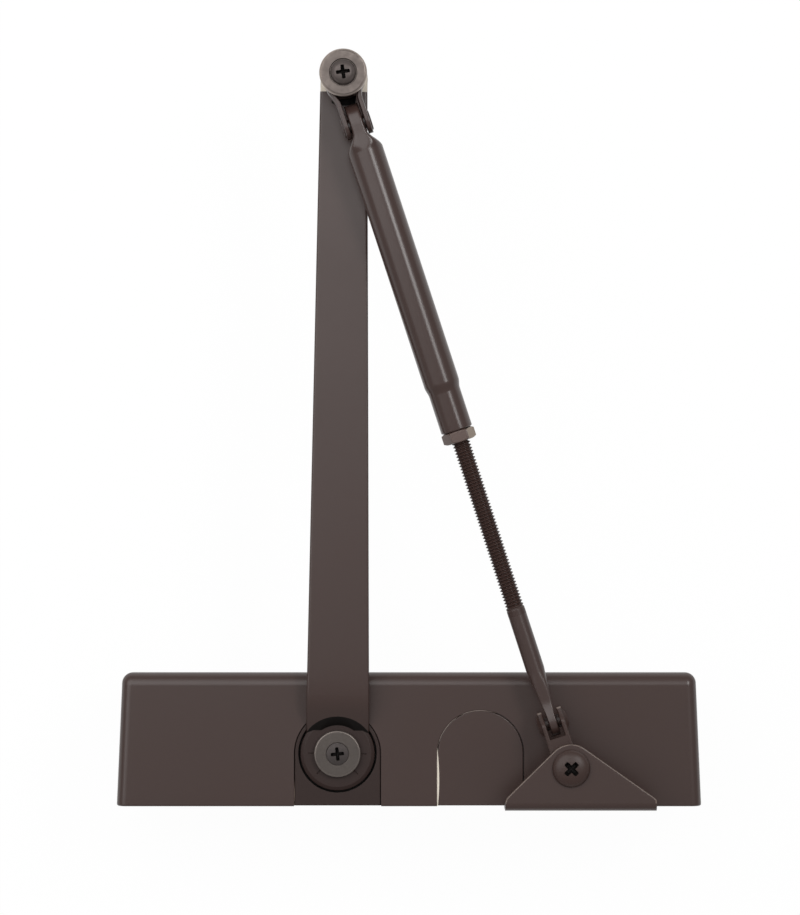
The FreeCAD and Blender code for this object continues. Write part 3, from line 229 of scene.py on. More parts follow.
# the same washer darker at the spindle, painted shade; one flat of the nut paler
spindleZinc = turnedCoat("turnedZincSpindle", {
    **zincLook, "light": "#67605c", "dark": "#4f4945", "rim": "#7d746f"}, "spindle")
elbowZinc = turnedCoat("turnedZincElbow", zincLook, "elbow")
paleFlatZinc = turnedCoat("paleFlatZinc", {
    **zincLook, "light": "#94877a", "dark": "#7a6e63", "rim": "#8a7d71"}, "spindle")

# screws of phosphated steel: dark grey brown, dry and a little uneven; darker at the spindle as painted shade
phosphateLook = {
    "light": "#5f5552", "dark": "#463f3c", "mottle": 2.0, "grain": 0.3,
    "smooth": 0.36, "rough": 0.52, "lift": 0.2, "depth": 0.02, "metallic": 0.5,
}
phosphate = plainCoat("phosphatedSteel", phosphateLook)
shadedPhosphate = plainCoat("shadedPhosphatedSteel", {**phosphateLook, "light": "#4a4341", "dark": "#332d2c"})

# aluminium cast in sand and shot blasted: pale grey, open grain
cast = plainCoat("castAluminium", {
    "light": "#a3a19c", "dark": "#83817d", "mottle": 9.0, "grain": 0.8,
    "smooth": 0.50, "rough": 0.68, "lift": 0.6, "depth": 0.12, "metallic": 0.75})

# carbon steel, milled and ground: bright grey with a fine lay
ground = plainCoat("groundSteel", {
    "light": "#b3b2af", "dark": "#96948f", "mottle": 2.5, "grain": 0.3,
    "smooth": 0.22, "rough": 0.36, "lift": 0.15, "depth": 0.02, "metallic": 1.0})

# free cutting brass, turned: warm yellow
brass = plainCoat("turnedBrass", {
    "light": "#c9a65c", "dark": "#ab8743", "mottle": 2.0, "grain": 0.3,
    "smooth": 0.22, "rough": 0.38, "lift": 0.15, "depth": 0.02, "metallic": 1.0})

# nitrile rubber, moulded: matt black
rubber = plainCoat("nitrileRubber", {
    "light": "#201f1f", "dark": "#181717", "mottle": 3.0, "grain": 0.4,
    "smooth": 0.62, "rough": 0.78, "lift": 0.2, "depth": 0.03})

# nylon, moulded: milky and waxy
nylon = plainCoat("mouldedNylon", {
    "light": "#e2d9cb", "dark": "#d6cbbb", "mottle": 5.0, "grain": 0.5,
    "smooth": 0.42, "rough": 0.55, "lift": 0.1, "depth": 0.02, "index": 1.53})
print("materials made")


# pieces that stay as the CAD gives them, with their finish
finishes = {
    # the clevis pin takes the darker enamel: painted shade
    shadedBoltBronze: ("clevis_pin",),
    black: ("cover_screws", "shoe_nut"),
    cast: ("body_casting", "plain_end_cap", "spring_end_cap"),
    ground: ("pinion", "piston", "check_ball", "spring_seat", "power_adjuster", "upper_bearing",
        "lower_bearing", "upper_spindle_nut", "lower_spindle_nut", "elbow_stud", "shoe_washer"),
    brass: ("sweep_valve", "latch_valve", "backcheck_valve"),
    rubber: ("end_cap_seals", "spindle_seals"),
    nylon: ("thrust_washer",),
}
for material, names in finishes.items():
    for name in names:
        data = nodes[name].data
        data.materials.clear()
        data.materials.append(material)


# shapes: every surface is a set of closed loops of points, in mm, one loop after the next

def wheel(count):
    return np.linspace(0, 2 * math.pi, count, endpoint=False)


def quarter(count):
    return np.linspace(0, math.pi / 2, count)


def join(*rows):
    return np.concatenate(rows)


def pick(size, keys):
    # the values of a dictionary under these keys
    return [size[key] for key in keys.split()]


def runs(start, *spans):
    # steps from a start through each (end, count) in turn
    steps = [np.array([start])]
    for end, count in spans:
        steps.append(np.linspace(steps[-1][-1], end, count)[1:])
    return join(*steps)


def between(low, high, share):
    return low + (high - low) * share


def smooth(x):
    # eases from 0 to 1: 3x^2 - 2x^3
    x = np.clip(x, 0, 1)
    return x * x * (3 - 2 * x)


def leg(long, side):
    # third side of a right triangle, nothing where there is none
    return np.sqrt(np.maximum(long ** 2 - side ** 2, 0))


def rollOff(radius, past):
    # how far a rolled edge has fallen, this far past the start of its roll
    return radius - leg(radius, np.maximum(past, 0))


def grid(x, y, z):
    # points from coordinates that spread over one another
    return np.stack(np.broadcast_arrays(x, y, z), -1)


def polar(radius, around, height):
    return grid(radius * np.cos(around), radius * np.sin(around), height)


def spun(profile, around):
    # a profile of (radius, height) carried round the axis at the given angles
    profile = np.asarray(profile, float)
    return polar(profile[:, :1], around, profile[:, 1:2])


def turned(points, origin, yaw, dip):
    # own X axis is swung by the yaw and then dips, and the origin is added
    a, b = math.radians(yaw), math.radians(dip)
    swing = np.array([[math.cos(a), -math.sin(a), 0], [math.sin(a), math.cos(a), 0], [0, 0, 1]])
    lean = np.array([[math.cos(b), 0, math.sin(b)], [0, 1, 0], [-math.sin(b), 0, math.cos(b)]])
    return points @ (swing @ lean).T + origin


def acrossLoop(loop):
    # strips of quads that fill a loop
    count = len(loop)
    near = np.arange(count // 2 - 1)
    far = count - 1 - near
    return np.stack([loop[near], loop[near + 1], loop[far - 1], loop[far]], -1)


def shell(loops, ends="strips"):
    # quads join each loop to the next; the end loops are filled by strips across, left open or joined
    loops = np.asarray(loops, float)
    count, around = loops.shape[:2]
    index = np.arange(count * around).reshape(count, around)
    rows = np.vstack([index, index[:1]]) if ends == "joined" else index
    near, far = rows[:-1], rows[1:]
    quads = np.stack([near, np.roll(near, -1, 1), np.roll(far, -1, 1), far], -1).reshape(-1, 4)
    if ends == "strips":
        quads = np.vstack([quads, acrossLoop(index[0][::-1]), acrossLoop(index[-1])])
    return loops.reshape(-1, 3), quads


def rowOf(loops, ends="strips"):
    # the row that each quad of a shell lies in
    count, around = np.shape(loops)[:2]
    row = np.repeat(np.arange(count if ends == "joined" else count - 1), around)
    half = around // 2 - 1
    return join(row, np.zeros(half, int), np.full(half, count - 2)) if ends == "strips" else row


def placed(parts, at, yaw=0.0, dip=0.0):
    # shells of (loops, ends, marks), swung and set down at one of the places
    origin, shells = np.array([*places[at], 0.0][:3]), []
    for loops, ends, marks in parts:
        points, quads = shell(loops, ends)
        shells.append((turned(points, origin, yaw, dip), quads, marks + np.zeros(len(quads), int)))
    return shells


def walled(outer, inner, quads):
    # two like surfaces become one wall: the inner one is turned over, and quads join their borders
    count = len(outer)
    edges = np.stack([quads, np.roll(quads, -1, 1)], -1).reshape(-1, 2)
    low, high = edges.min(1), edges.max(1)
    first, times = np.unique(low * count + high, return_index=True, return_counts=True)[1:]
    border = edges[first[times == 1]]
    sides = np.stack([border[:, 1], border[:, 0], border[:, 0] + count, border[:, 1] + count], -1)
    return np.vstack([outer, inner]), np.vstack([quads, quads[:, ::-1] + count, sides])


# mm under which points merge and edges count as none, and the steps of a rounded rim
meshing = {"merge": 0.002, "none": 0.001, "rimSteps": 3}


def piece(name, shells, materials, body, replaced=(), sharp=38.0, rim=0.0, rimAngle=50.0):
    # the shells become one mesh: doubles merged, faces outwards, smooth but for sharp edges;
    # a rim rounds the edges that are left, and a shell's marks choose among the materials
    starts = np.cumsum([0] + [len(part[0]) for part in shells])
    points = np.vstack([part[0] for part in shells]) * mm
    quads = np.vstack([part[1] + start for part, start in zip(shells, starts)])
    marks = np.concatenate([part[2] if len(part) > 2 else np.zeros(len(part[1]), int) for part in shells])
    data = bpy.data.meshes.new(name)
    data.from_pydata(points.tolist(), [], quads.tolist())
    for material in materials:
        data.materials.append(material)
    data.polygons.foreach_set("material_index", marks.astype(np.int32))
    clean = bmesh.new()
    clean.from_mesh(data)
    bmesh.ops.remove_doubles(clean, verts=clean.verts, dist=meshing["merge"] * mm)
    bmesh.ops.dissolve_degenerate(clean, edges=clean.edges, dist=meshing["none"] * mm)
    loose = [vert for vert in clean.verts if not vert.link_faces]
    bmesh.ops.delete(clean, geom=loose, context="VERTS")
    bmesh.ops.recalc_face_normals(clean, faces=clean.faces)
    clean.to_mesh(data)
    clean.free()
    data.shade_smooth()
    data.set_sharp_from_angle(angle=math.radians(sharp))
    made = addObject(name, data)
    if rim:
        edge = made.modifiers.new("rim", "BEVEL")
        edge.width = rim * mm
        edge.segments = meshing["rimSteps"]
        edge.limit_method = "ANGLE"
        edge.angle_limit = math.radians(rimAngle)
    flats = made.modifiers.new("flats", "WEIGHTED_NORMAL")
    flats.keep_sharp = True
    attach(made, body)
    if replaced:
        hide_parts(*replaced)
    return made


def softCorners(corners, radii, steps=5):
    # each corner of a line becomes an arc of its radius: a blend of the two sides about the corner
    corners = np.asarray(corners, float)
    out = [corners[:1]]
    for before, here, after, radius in zip(corners, corners[1:], corners[2:], radii):
        inward, onward = before - here, after - here
        inward, onward = inward / np.linalg.norm(inward), onward / np.linalg.norm(onward)
        half = math.acos(np.clip(inward @ onward, -1, 1)) / 2
        middle = (inward + onward) / np.linalg.norm(inward + onward)
        centre = here + middle * radius / math.sin(half)
        first, last = here + inward * radius / math.tan(half), here + onward * radius / math.tan(half)
        share = np.linspace(0, 1, steps)[:, None]
        spokes = (first - centre) * (1 - share) + (last - centre) * share
        out.append(centre + spokes / np.linalg.norm(spokes, axis=1, keepdims=True) * radius)
    out.append(corners[-1:])
    return np.vstack(out)


def superLoop(around, halfWide, halfTall, square):
    # rounded box outline: |y/a|^p + |z/b|^p = 1 in polar steps
    c, s = np.cos(around), np.sin(around)
    y = halfWide * np.sign(c) * np.abs(c) ** (2 / square)
    z = halfTall * np.sign(s) * np.abs(s) ** (2 / square)
    return y, z


# cover, drawn from sheet steel
coverBox = {
    "halfBack": 127.0, "halfFront": 124.5, "depth": 57.9, "halfTall": 35.0, "wall": 2.0, "edge": 4.5,
    "roll": 5.6, "hem": 0.9, "lean": 0.06, "slots": (31.0, -31.0), "slotRadius": 18.9, "setback": 23.0,
    "steady": 60.0, "rim": 0.3, "arcSteps": 41, "outerSteps": 14, "middleSteps": 6, "sideRows": (5.0, 18.0),
}


def coverSurface(inset):
    # a rectangle with a rounded border carried forward from the door and drawn in over the front rolls,
    # a wide roll above and a narrow one elsewhere; the row at the slots' centres bends round their arcs,
    # and the front leans in towards the bottom
    box = coverBox
    edge, roll, tall, deep = (value - inset for value in pick(box, "edge roll halfTall depth"))
    back, front, radius = box["halfBack"] - inset, box["halfFront"] - inset, box["slotRadius"]
    steady, fold, setback = pick(box, "steady hem setback")
    flat = back - edge
    near, far = (slot + radius * np.cos(np.linspace(0, math.pi, box["arcSteps"])) for slot in box["slots"])
    spans = [np.linspace(flat, near[0], box["outerSteps"])[:-1], near,
            np.linspace(near[-1], far[0], box["middleSteps"])[1:-1], far,
            np.linspace(far[-1], -flat, box["outerSteps"])[1:]]
    top, bend, side = join(*spans), quarter(9)[1:-1], np.array(box["sideRows"])
    none, one = np.zeros_like, np.ones_like
    x = join(one(side) * flat, one(bend) * flat, top, -one(bend) * flat, -one(side) * flat)
    outX = join(one(side), np.cos(bend), none(top), -np.sin(bend), -one(side))
    outZ = join(none(side), np.sin(bend), one(top), np.cos(bend), none(side))
    fixed = join(side, none(bend), none(top), none(bend), side[::-1])
    turnAt = np.full_like(x, setback)
    for slot in box["slots"]:
        turnAt = turnAt + np.where(outZ == 1, leg(radius, x - slot), 0)
    turnAt = join(turnAt, np.full_like(x, setback))
    hem = fold * (1 - np.cos(quarter(6)))[:, None] + 0 * turnAt
    backRows, fillRows = np.linspace(0, 1, 6)[1:, None], np.linspace(0, 1, 9)[1:, None]
    start = deep - roll
    depth = np.vstack([hem, hem[-1] + backRows * (turnAt - hem[-1]), turnAt + (start - turnAt) * fillRows,
            start + roll * np.sin(quarter(19)[1:, None]) + 0 * turnAt])
    narrow, wide = rollOff(edge, depth - deep + edge), rollOff(roll, depth - start)
    turnedIn = rollOff(fold, fold - depth) * (inset == 0)
    half = back - (back - front) * depth / deep
    share = (half - edge - steady) / (flat - steady)
    x, outX = join(x, x[::-1]), join(outX, outX[::-1])
    away = np.maximum(np.abs(x) - steady, 0)
    drafted = np.where(away > 0, np.sign(x) * (steady + away * share), x)
    count, halves = len(outZ), []
    for sign, fallen, fix, out in ((1, wide[:, :count], fixed, outZ),
            (-1, narrow[:, count:], fixed[::-1], outZ[::-1])):
        level = tall - np.maximum(fallen, edge) + out * np.maximum(edge - fallen, 0)
        halves.append(sign * np.where(fix > 0, fix, level))
    z = np.hstack(halves)
    leaning = 1 - box["lean"] * np.maximum(box["halfTall"] - box["roll"] - z, 0) / box["depth"]
    outAll = join(outZ, -outZ[::-1])
    loops = grid(drafted + outX * (edge - narrow - turnedIn), -depth * leaning, z - outAll * turnedIn)
    starts = len(side) + len(bend) + np.cumsum([len(span) for span in spans])
    return loops, (starts[0], starts[2]), len(hem) + len(backRows) - 1


def coverShell():
    # the outer and the inner surface, both open over the slots, joined to a wall
    box = coverBox
    outer, slotStarts, backs = coverSurface(0.0)
    inner = coverSurface(box["wall"])[0]
    count, around = outer.shape[:2]
    points, quads = shell(outer, "open")
    keep = np.ones((count - 1, around), bool)
    for column in slotStarts:
        keep[:backs, column:column + box["arcSteps"] - 1] = False
    front = acrossLoop(np.arange(around) + (count - 1) * around)
    quads = np.vstack([quads[keep.reshape(-1)], front])
    wall = walled(points, inner.reshape(-1, 3), quads)
    piece("coverShell", [wall], [bronze], "closer_body", ["cover"], rim=box["rim"])


# the plates that close the slots
insertPlate = {
    "radius": 18.55, "mouth": 22.65, "bottom": 31.2, "ledge": 32.9, "top": 34.7, "edge": 0.45, "hole": 17.0,
    "soft": 0.12, "softBend": 0.3, "lip": 21.1, "shelf": 0.7, "shelfTop": 31.9, "paintedShaded": 3,
}


def archReach(around, radius, mouth):
    # polar outline of an arch: round in front, straight sides and a straight mouth behind
    over = np.sin(around)
    side = radius / np.maximum(np.abs(np.cos(around)), tiny)
    back = mouth / np.maximum(over, tiny)
    return np.where(over <= 0, radius, np.minimum(side, back))


def slotInserts():
    # arch outlines stacked up the edge of the plate, closed to the middle or to the spindle's hole,
    # whose wall and shelf round the hub are painted near black: painted shade in the gap
    plate = insertPlate
    edge, top, bottom, soft = pick(plate, "edge top bottom soft")
    radius, lip, mouth, ledge, shelfTop = pick(plate, "radius lip mouth ledge shelfTop")
    corners = [math.atan2(mouth, side * half) for half in (radius, lip) for side in (1, -1)]
    around = np.unique(np.round(join(wheel(180), corners), 9))
    wide, body = archReach(around, lip, mouth), archReach(around, radius, mouth)
    rings = [(wide, bottom), (wide, ledge), (body, ledge)]
    rings += [(body - edge * (1 - math.cos(a)), top - edge * (1 - math.sin(a))) for a in quarter(5)]
    # the spindle's insert takes the darker enamel, painted shade
    for name, at, hole, finish, node in (
            ("spindleInsert", "spindle", plate["hole"], shadedBronze, "spindle_insert"),
            ("blankInsert", "blank", 0.0, bronze, "blank_insert")):
        shelf, bent = hole - plate["shelf"], soft * plate["softBend"]
        rim = [(hole + soft, top), (hole + bent, top - bent), (hole, top - soft), (hole, shelfTop),
               (shelf, shelfTop)]
        stack = [(shelf, bottom), *rings, *rim] if hole else [(hole, bottom), *rings, (hole, top)]
        loops = np.array([polar(r, around, z) for r, z in stack])
        ends = "joined" if hole else "open"
        paintedShaded = (rowOf(loops, ends) >= len(loops) - plate["paintedShaded"]) & (hole > 0)
        shells = placed([(loops, ends, paintedShaded)], at)
        piece(name, shells, [finish, paintedShade], "closer_body", [node])


# a painted highlight: a pale sliver along a plate's side beside the slot
highlightEdges = {
    "blankHighlightEdge": {"x": -12.12, "from": -25.4, "wide": 1.0, "high": 34.95, "low": 34.66, "finish": nylon},
    "spindleHighlightEdge": {"x": 49.85, "from": -11.5, "wide": 0.3, "high": 34.92, "low": 34.74,
        "finish": paintedHighlightBronze},
    "all": {"thick": 0.15, "gap": 0.2, "phase": 0.06, "wave": 0.8},
}


def highlightEdge(name):
    # a painted highlight: a sliver as wide as part of a sine wave along the plate's side, sloping outwards
    strip = {**highlightEdges["all"], **highlightEdges[name]}
    far, low, high, thick = pick(strip, "x low high thick")
    share = np.linspace(0, 1, 40)
    y = strip["from"] * (1 - share) - strip["gap"]
    wide = strip["wide"] * np.sin(math.pi * (strip["phase"] + strip["wave"] * share))
    near = far - wide
    section = ((far, low), (near, high), (near, high - thick), (far, low - thick))
    loops = np.stack([grid(x, y, z) for x, z in section], 1)
    piece(name, [shell(loops)], [strip["finish"]], "closer_body")


highlightArch = {
    "radius": 18.72, "wide": 0.26, "turn": (8.0, 112.0), "high": 34.93, "thick": 0.15, "drop": 0.06,
    "hump": 0.7,
}


def highlightArchEdge():
    # the same painted highlight carried round part of the slot's arch, its width two humps of a sine wave
    strip = highlightArch
    far, thick = pick(strip, "radius thick")
    share = np.linspace(0, 1, 60)
    angle = np.radians(between(*strip["turn"], share))
    near = far - strip["wide"] * np.abs(np.sin(2 * math.pi * share)) ** strip["hump"]
    section = ((far, strip["drop"]), (near, 0.0), (near, thick), (far, thick))
    loops = np.stack([polar(r, -angle, strip["high"] - z) for r, z in section], 1)
    shells = placed([(loops, "strips", 0)], "blank")
    piece("archHighlightEdge", shells, [paintedHighlightBronze], "closer_body")


# main arm, forged; ledge and neck count back from the elbow, a tick's ring has radius and share of depth
armBar = {
    "length": 292.1, "rootHalf": 13.8, "tipHalf": 10.2, "tip": 286.0, "bottom": 36.5, "top": 44.0,
    "edge": 0.95, "slopeFoot": 9.6, "slopeRun": 12.4, "crest": 3.0, "crestRows": 4.0,
    "plainRows": (70.0, 268.0), "thin": 0.05,
    "underFrom": 35.6, "underRise": 0.0909, "underLow": 34.0, "underTo": 26.0,
    "spotFoot": 11.9, "spotMouth": 16.3, "spotRise": 4.2, "spotSunk": 0.3,
    "coneShadeRows": 9, "spotRows": (9.0, 11.9, 12.3, 12.8, 13.4, 14.0, 14.6, 15.2, 15.8, 16.29, 16.31),
    "hubTop": 35.5, "hubRadius": 16.1, "hubBottom": 26.5, "hubChamfer": 1.5, "hubEdge": 0.9, "hubFloor": 12.7,
    "hubSoft": (0.8, 0.5, 0.6), "eyeSoft": (0.8, 0.6),
    "ticks": (90.0, 135.0, 225.0, 270.0), "tickAt": 12.0, "tickWide": 0.6, "tickDeep": 0.35, "tickSlope": 0.4,
    "tickSteps": (-1.5, -1.0, -0.6, 0.0, 0.6, 1.0, 1.5),
    "tickRings": ((12.55, 0.0), (12.25, 1.0), (10.6, 1.0), (10.3, 0.0)),
    "floor": 38.5, "eyeRadius": 10.19, "eyeBottom": 31.0, "eyeSpot": 12.2,
    "ledgeRows": (24.0, 18.0, 7.1, 1.5, 0.6), "neckHalf": 6.7,
    "neckRows": ((24.0, 36.5), (19.2, 33.75), (14.4, 31.0), (7.0, 31.0), (0.0, 31.0)),
    "milledHalf": 10.1, "milledEnd": 6.1, "milledShade": 5.4, "milledLow": 38.4, "milledHigh": 38.55,
}


def armHalf(t):
    root, half, tip = pick(armBar, "rootHalf tipHalf tip")
    return between(root, half, np.minimum(t, tip) / tip)


def armHeight(t, u):
    # height of the bar's top: a slope that rounds off to the flat, less the cone of the spot face
    top, low, foot, mouth, rise, sunk = pick(armBar, "top hubTop spotFoot spotMouth spotRise spotSunk")
    slope = low + (t - armBar["slopeFoot"]) * (top - low) / armBar["slopeRun"]
    flat = 0.5 * (top + slope - np.sqrt((top - slope) ** 2 + armBar["crest"] ** 2))
    far = np.hypot(t, u)
    cone = low - sunk + (far - foot) * (rise + sunk) / (mouth - foot)
    return np.where(far < mouth, np.minimum(flat, cone), flat)


def barShell():
    # rows follow the round spot face at the spindle and the round spot face at the elbow
    bar = armBar
    near, blend, edge = np.array(bar["spotRows"]), np.linspace(0, 1, 14)[1:], bar["edge"]
    crest = bar["slopeFoot"] + bar["slopeRun"]
    plainFrom, plainTo = bar["plainRows"]
    rows = runs(crest, (crest + bar["crestRows"], 10), (plainFrom, 20), (plainTo, 24), (bar["tip"], 30))[1:]
    reach = join(near, np.full(len(blend) + len(rows), near[-1]))[:, None]
    share = join(np.zeros(len(near)), blend, np.ones(len(rows)))[:, None]
    line = join(np.full(len(near) + len(blend), crest), rows)[:, None]
    half = armHalf(line)
    flat = half - edge
    curl = edge * np.sin(quarter(7))
    u = np.hstack([-half, -flat - curl[::-1], flat * np.linspace(-1, 1, 41)[1:-1], flat + curl, half])
    t = leg(reach, u) * (1 - share) + line * share
    elbow = bar["length"] - leg(bar["eyeSpot"], u)
    t = np.minimum(t, np.where(np.abs(u) < bar["milledShade"], elbow, bar["tip"]))
    z = armHeight(t, u) - rollOff(edge, np.abs(u) - flat)
    low = np.minimum(bar["bottom"], z - bar["thin"])
    under = bar["underFrom"] + (t - bar["hubRadius"]) * bar["underRise"]
    under = np.minimum(low, np.clip(under, bar["underLow"], bar["bottom"]))
    low = np.where(t < bar["underTo"], under, low)
    z[:, 0], z[:, -1] = low[:, 0], low[:, -1]
    return np.concatenate([grid(t, u, z), grid(t, u, low)[:, ::-1]], 1)


def hubShell():
    # a turned disc whose floor has short radial marks cut in it
    bar = armBar
    ticks, (top, radius, low) = np.radians(bar["ticks"]), pick(bar, "hubTop hubRadius hubBottom")
    half = bar["tickWide"] / 2 / bar["tickAt"]
    fine = (ticks[:, None] + np.array(bar["tickSteps"]) * half).ravel() % (2 * math.pi)
    around = np.unique(np.round(join(wheel(144), fine), 9))
    off = np.abs(around[:, None] - ticks).min(1)
    groove = np.clip((half - off) / (half * bar["tickSlope"]), 0, 1) * bar["tickDeep"]
    rim = softCorners([(0.0, low), (radius, low), (radius, top - bar["hubEdge"]),
            (radius - bar["hubChamfer"], top), (bar["hubFloor"], top)], bar["hubSoft"])
    floor = [polar(reach, around, top - groove * share) for reach, share in bar["tickRings"]]
    return join(spun(rim, around), floor, spun([(0.0, top)], around))


def eyeShells():
    # the stepped-down floor, the eye under the elbow and the sloping neck between them
    bar = armBar
    end, radius, low, floor = pick(bar, "length eyeRadius eyeBottom floor")
    corners = [(0.0, low), (radius, low), (radius, floor), (0.0, floor)]
    eye = spun(softCorners(corners, bar["eyeSoft"]), wheel(96)) + np.array([end, 0.0, 0.0])
    t = (end - np.array(bar["ledgeRows"]))[:, None]
    u = (armHalf(t) - bar["thin"]) * np.linspace(-1, 1, 21)
    ledge = np.concatenate([grid(t, u, floor), grid(t, u, bar["bottom"])[:, ::-1]], 1)
    half, high = bar["neckHalf"], floor - bar["thin"]
    neck = np.array([[(end - back, -half, high), (end - back, half, high),
            (end - back, half, under), (end - back, -half, under)] for back, under in bar["neckRows"]])
    return eye, ledge, neck


def spotFace():
    # a thin milled disc about the elbow, trimmed to the arm's sides and to the end of its bar,
    # which it enters only between the knuckle's ears
    bar, around = armBar, wheel(120)
    half, low, high = pick(bar, "milledHalf milledLow milledHigh")
    side = half / np.maximum(np.abs(np.sin(around)), tiny)
    end = bar["milledEnd"] / np.maximum(-np.cos(around), tiny)
    entered = np.minimum(bar["eyeSpot"], side * bar["milledShade"] / half)
    reach = np.where(np.cos(around) < 0, np.maximum(np.minimum(side, end), entered), half)
    loops = [polar(reach * share, around, z) for share, z in ((0, low), (1, low), (1, high), (0, high))]
    return np.array(loops) + np.array([bar["length"], 0.0, 0.0])


def mainArm():
    eye, ledge, neck = eyeShells()
    bar, milled = barShell(), spotFace()
    # the first rows of the bar, the cone of the spot face, are painted near black: painted shade of the
    # crescent
    groove = rowOf(bar) < armBar["coneShadeRows"]
    # the milled disc is pale nylon beside the knuckle's ears and painted near black between them: painted
    # shade
    paleOrShaded = np.where(np.abs(milled[1, :, 1]) > armBar["milledShade"] + armBar["thin"], 3, 1)
    # the hub takes the darker enamel, painted shade
    parts = [(bar, "strips", groove), (hubShell(), "open", 2), (eye, "open", 0), (ledge, "strips", 0),
            (neck, "strips", 0), (milled, "open", np.tile(paleOrShaded, len(milled) - 1))]
    piece("mainArm", placed(parts, "spindle", places["armYaw"]), [bronze, paintedShade, shadedBronze, nylon],
          "spindle_arm", ["main_arm"], 32.0)


# washers and screws; half, width, depth and turn are those of a screw's driver cross
fasteners = {
    "elbowWasher": {"hole": 2.6, "radius": 10.19, "bottom": 64.1, "top": 66.8, "edge": 1.25,
        "steps": ((5.9, 0.0), (5.9, 1.2), (2.6, 1.2))},
    "armWasher": {"hole": 2.6, "radius": 10.1, "bottom": 35.5, "top": 38.2, "edge": 0.7,
        "steps": ((5.05, 0.0), (2.6, 2.16))},
    "elbowScrew": {"radius": 5.4, "bottom": 57.5, "seat": 65.65, "tall": 4.45, "shank": 2.4, "square": 3.0,
        "edge": 0.25, "clear": 1.06, "half": 3.0, "width": 1.6, "depth": 2.2, "turn": 8.4},
    "shoeBolt": {"radius": 8.1, "bottom": 44.7, "seat": 58.1, "tall": 3.9, "shank": 3.9, "square": 2.3,
        "edge": 0.25, "clear": 1.06, "half": 3.5, "width": 2.2, "depth": 2.4, "turn": 45.0},
    "armScrew": {"radius": 4.85, "bottom": 24.0, "seat": 36.04, "top": 38.2, "tall": 0.4, "shank": 2.4,
        "edge": 0.15, "rows": (0.12, 0.4), "clear": 1.08, "half": 2.9, "width": 1.5, "depth": 2.0,
        "turn": 6.0},
}
# rows of a crown, and how its cross is sunk: lip, rows and lean of the walls, size and depth of the floor
crossCut = {"rows": 8, "lip": 0.1, "walls": (0.06, 0.3, 0.6, 1.0), "lean": 0.35, "floor": 0.1, "deeper": 1.25,
        "blunt": 8}
washerSoft = {"foot": 0.3, "step": 0.15}


def plainWasher(name, at, material, node):
    # a closed profile carried round: flat faces with a rolled outer edge and a stepped or sunk hole
    size = fasteners[name]
    hole, radius, low, high = pick(size, "hole radius bottom top")
    steps = [(reach, high - drop) for reach, drop in size["steps"]]
    corners = [(hole, low), (radius, low), (radius, high), *steps, (hole, low)]
    radii = [washerSoft["foot"], size["edge"], *[washerSoft["step"]] * len(steps)]
    loops = spun(softCorners(corners, radii, 9), wheel(160))
    piece(name, placed([(loops, "open", 0)], at), [material], "spindle_arm", [node])


def crossReach(around, half, width):
    # polar outline of a driver cross: the further of two bars with rounded ends
    blunt, c, s = crossCut["blunt"], np.abs(np.cos(around)), np.abs(np.sin(around))
    bars = [((a / half) ** blunt + (b / (width / 2)) ** blunt) ** (-1 / blunt) for a, b in ((c, s), (s, c))]
    return np.maximum(*bars)


def domedHead(size):
    # head height over its radius is a rounded square curve: (r/R)^n + (h/H)^n = 1
    radius, seat, tall, n, edge = pick(size, "radius seat tall square edge")

    def dome(r):
        return seat + tall * (1 - np.minimum(r / radius, 1) ** n) ** (1 / n)
    crown = [(radius * math.cos(a) ** (2 / n), seat + tall * math.sin(a) ** (2 / n)) for a in quarter(24)]
    crown = [point for point in crown if point[0] > size["half"] * size["clear"]]
    return [(radius - edge, seat), (radius, seat + edge), *crown[1:]], dome


def flatHead(size):
    # a countersunk head, its crown a shallow bowl turned over
    radius, top, tall = pick(size, "radius top tall")

    def dome(r):
        return top + tall * (1 - (r / radius) ** 2)
    rim, inside = size["rows"]
    reaches = [radius - rim, *np.linspace(radius - inside, size["half"] * size["clear"], 5)]
    return [(radius, top - size["edge"]), *((r, dome(r)) for r in reaches)], dome


def crossScrew(name, head, at, material, body, node):
    # a turned head whose crown runs in to a cross, whose walls lean in to the floor of the recess
    size, cut, around = fasteners[name], crossCut, wheel(192)
    low, shank, seat, deep = pick(size, "bottom shank seat depth")
    crown, dome = head(size)
    profile = [(0.0, low), (shank, low), (shank, seat), *crown]
    reach = crossReach(around - math.radians(size["turn"]), size["half"], size["width"])
    loops = list(spun(profile, around))
    for share in np.linspace(0, 1, cut["rows"] + 1)[1:]:
        radius = profile[-1][0] * (1 - share) + reach * share
        loops.append(polar(radius, around, dome(radius)))
    for share in cut["walls"]:
        height = dome(reach) - cut["lip"] - deep * share
        loops.append(polar(reach * (1 - cut["lean"] * share), around, height))
    loops.append(polar(reach * cut["floor"], around, dome(0.0) - deep * cut["deeper"]))
    # the recess of the cross is painted near black: painted shade
    sunk = rowOf(loops) >= len(profile) + cut["rows"] - 1
    piece(name, placed([(loops, "strips", sunk)], at), [material, paintedShade], body, [node])


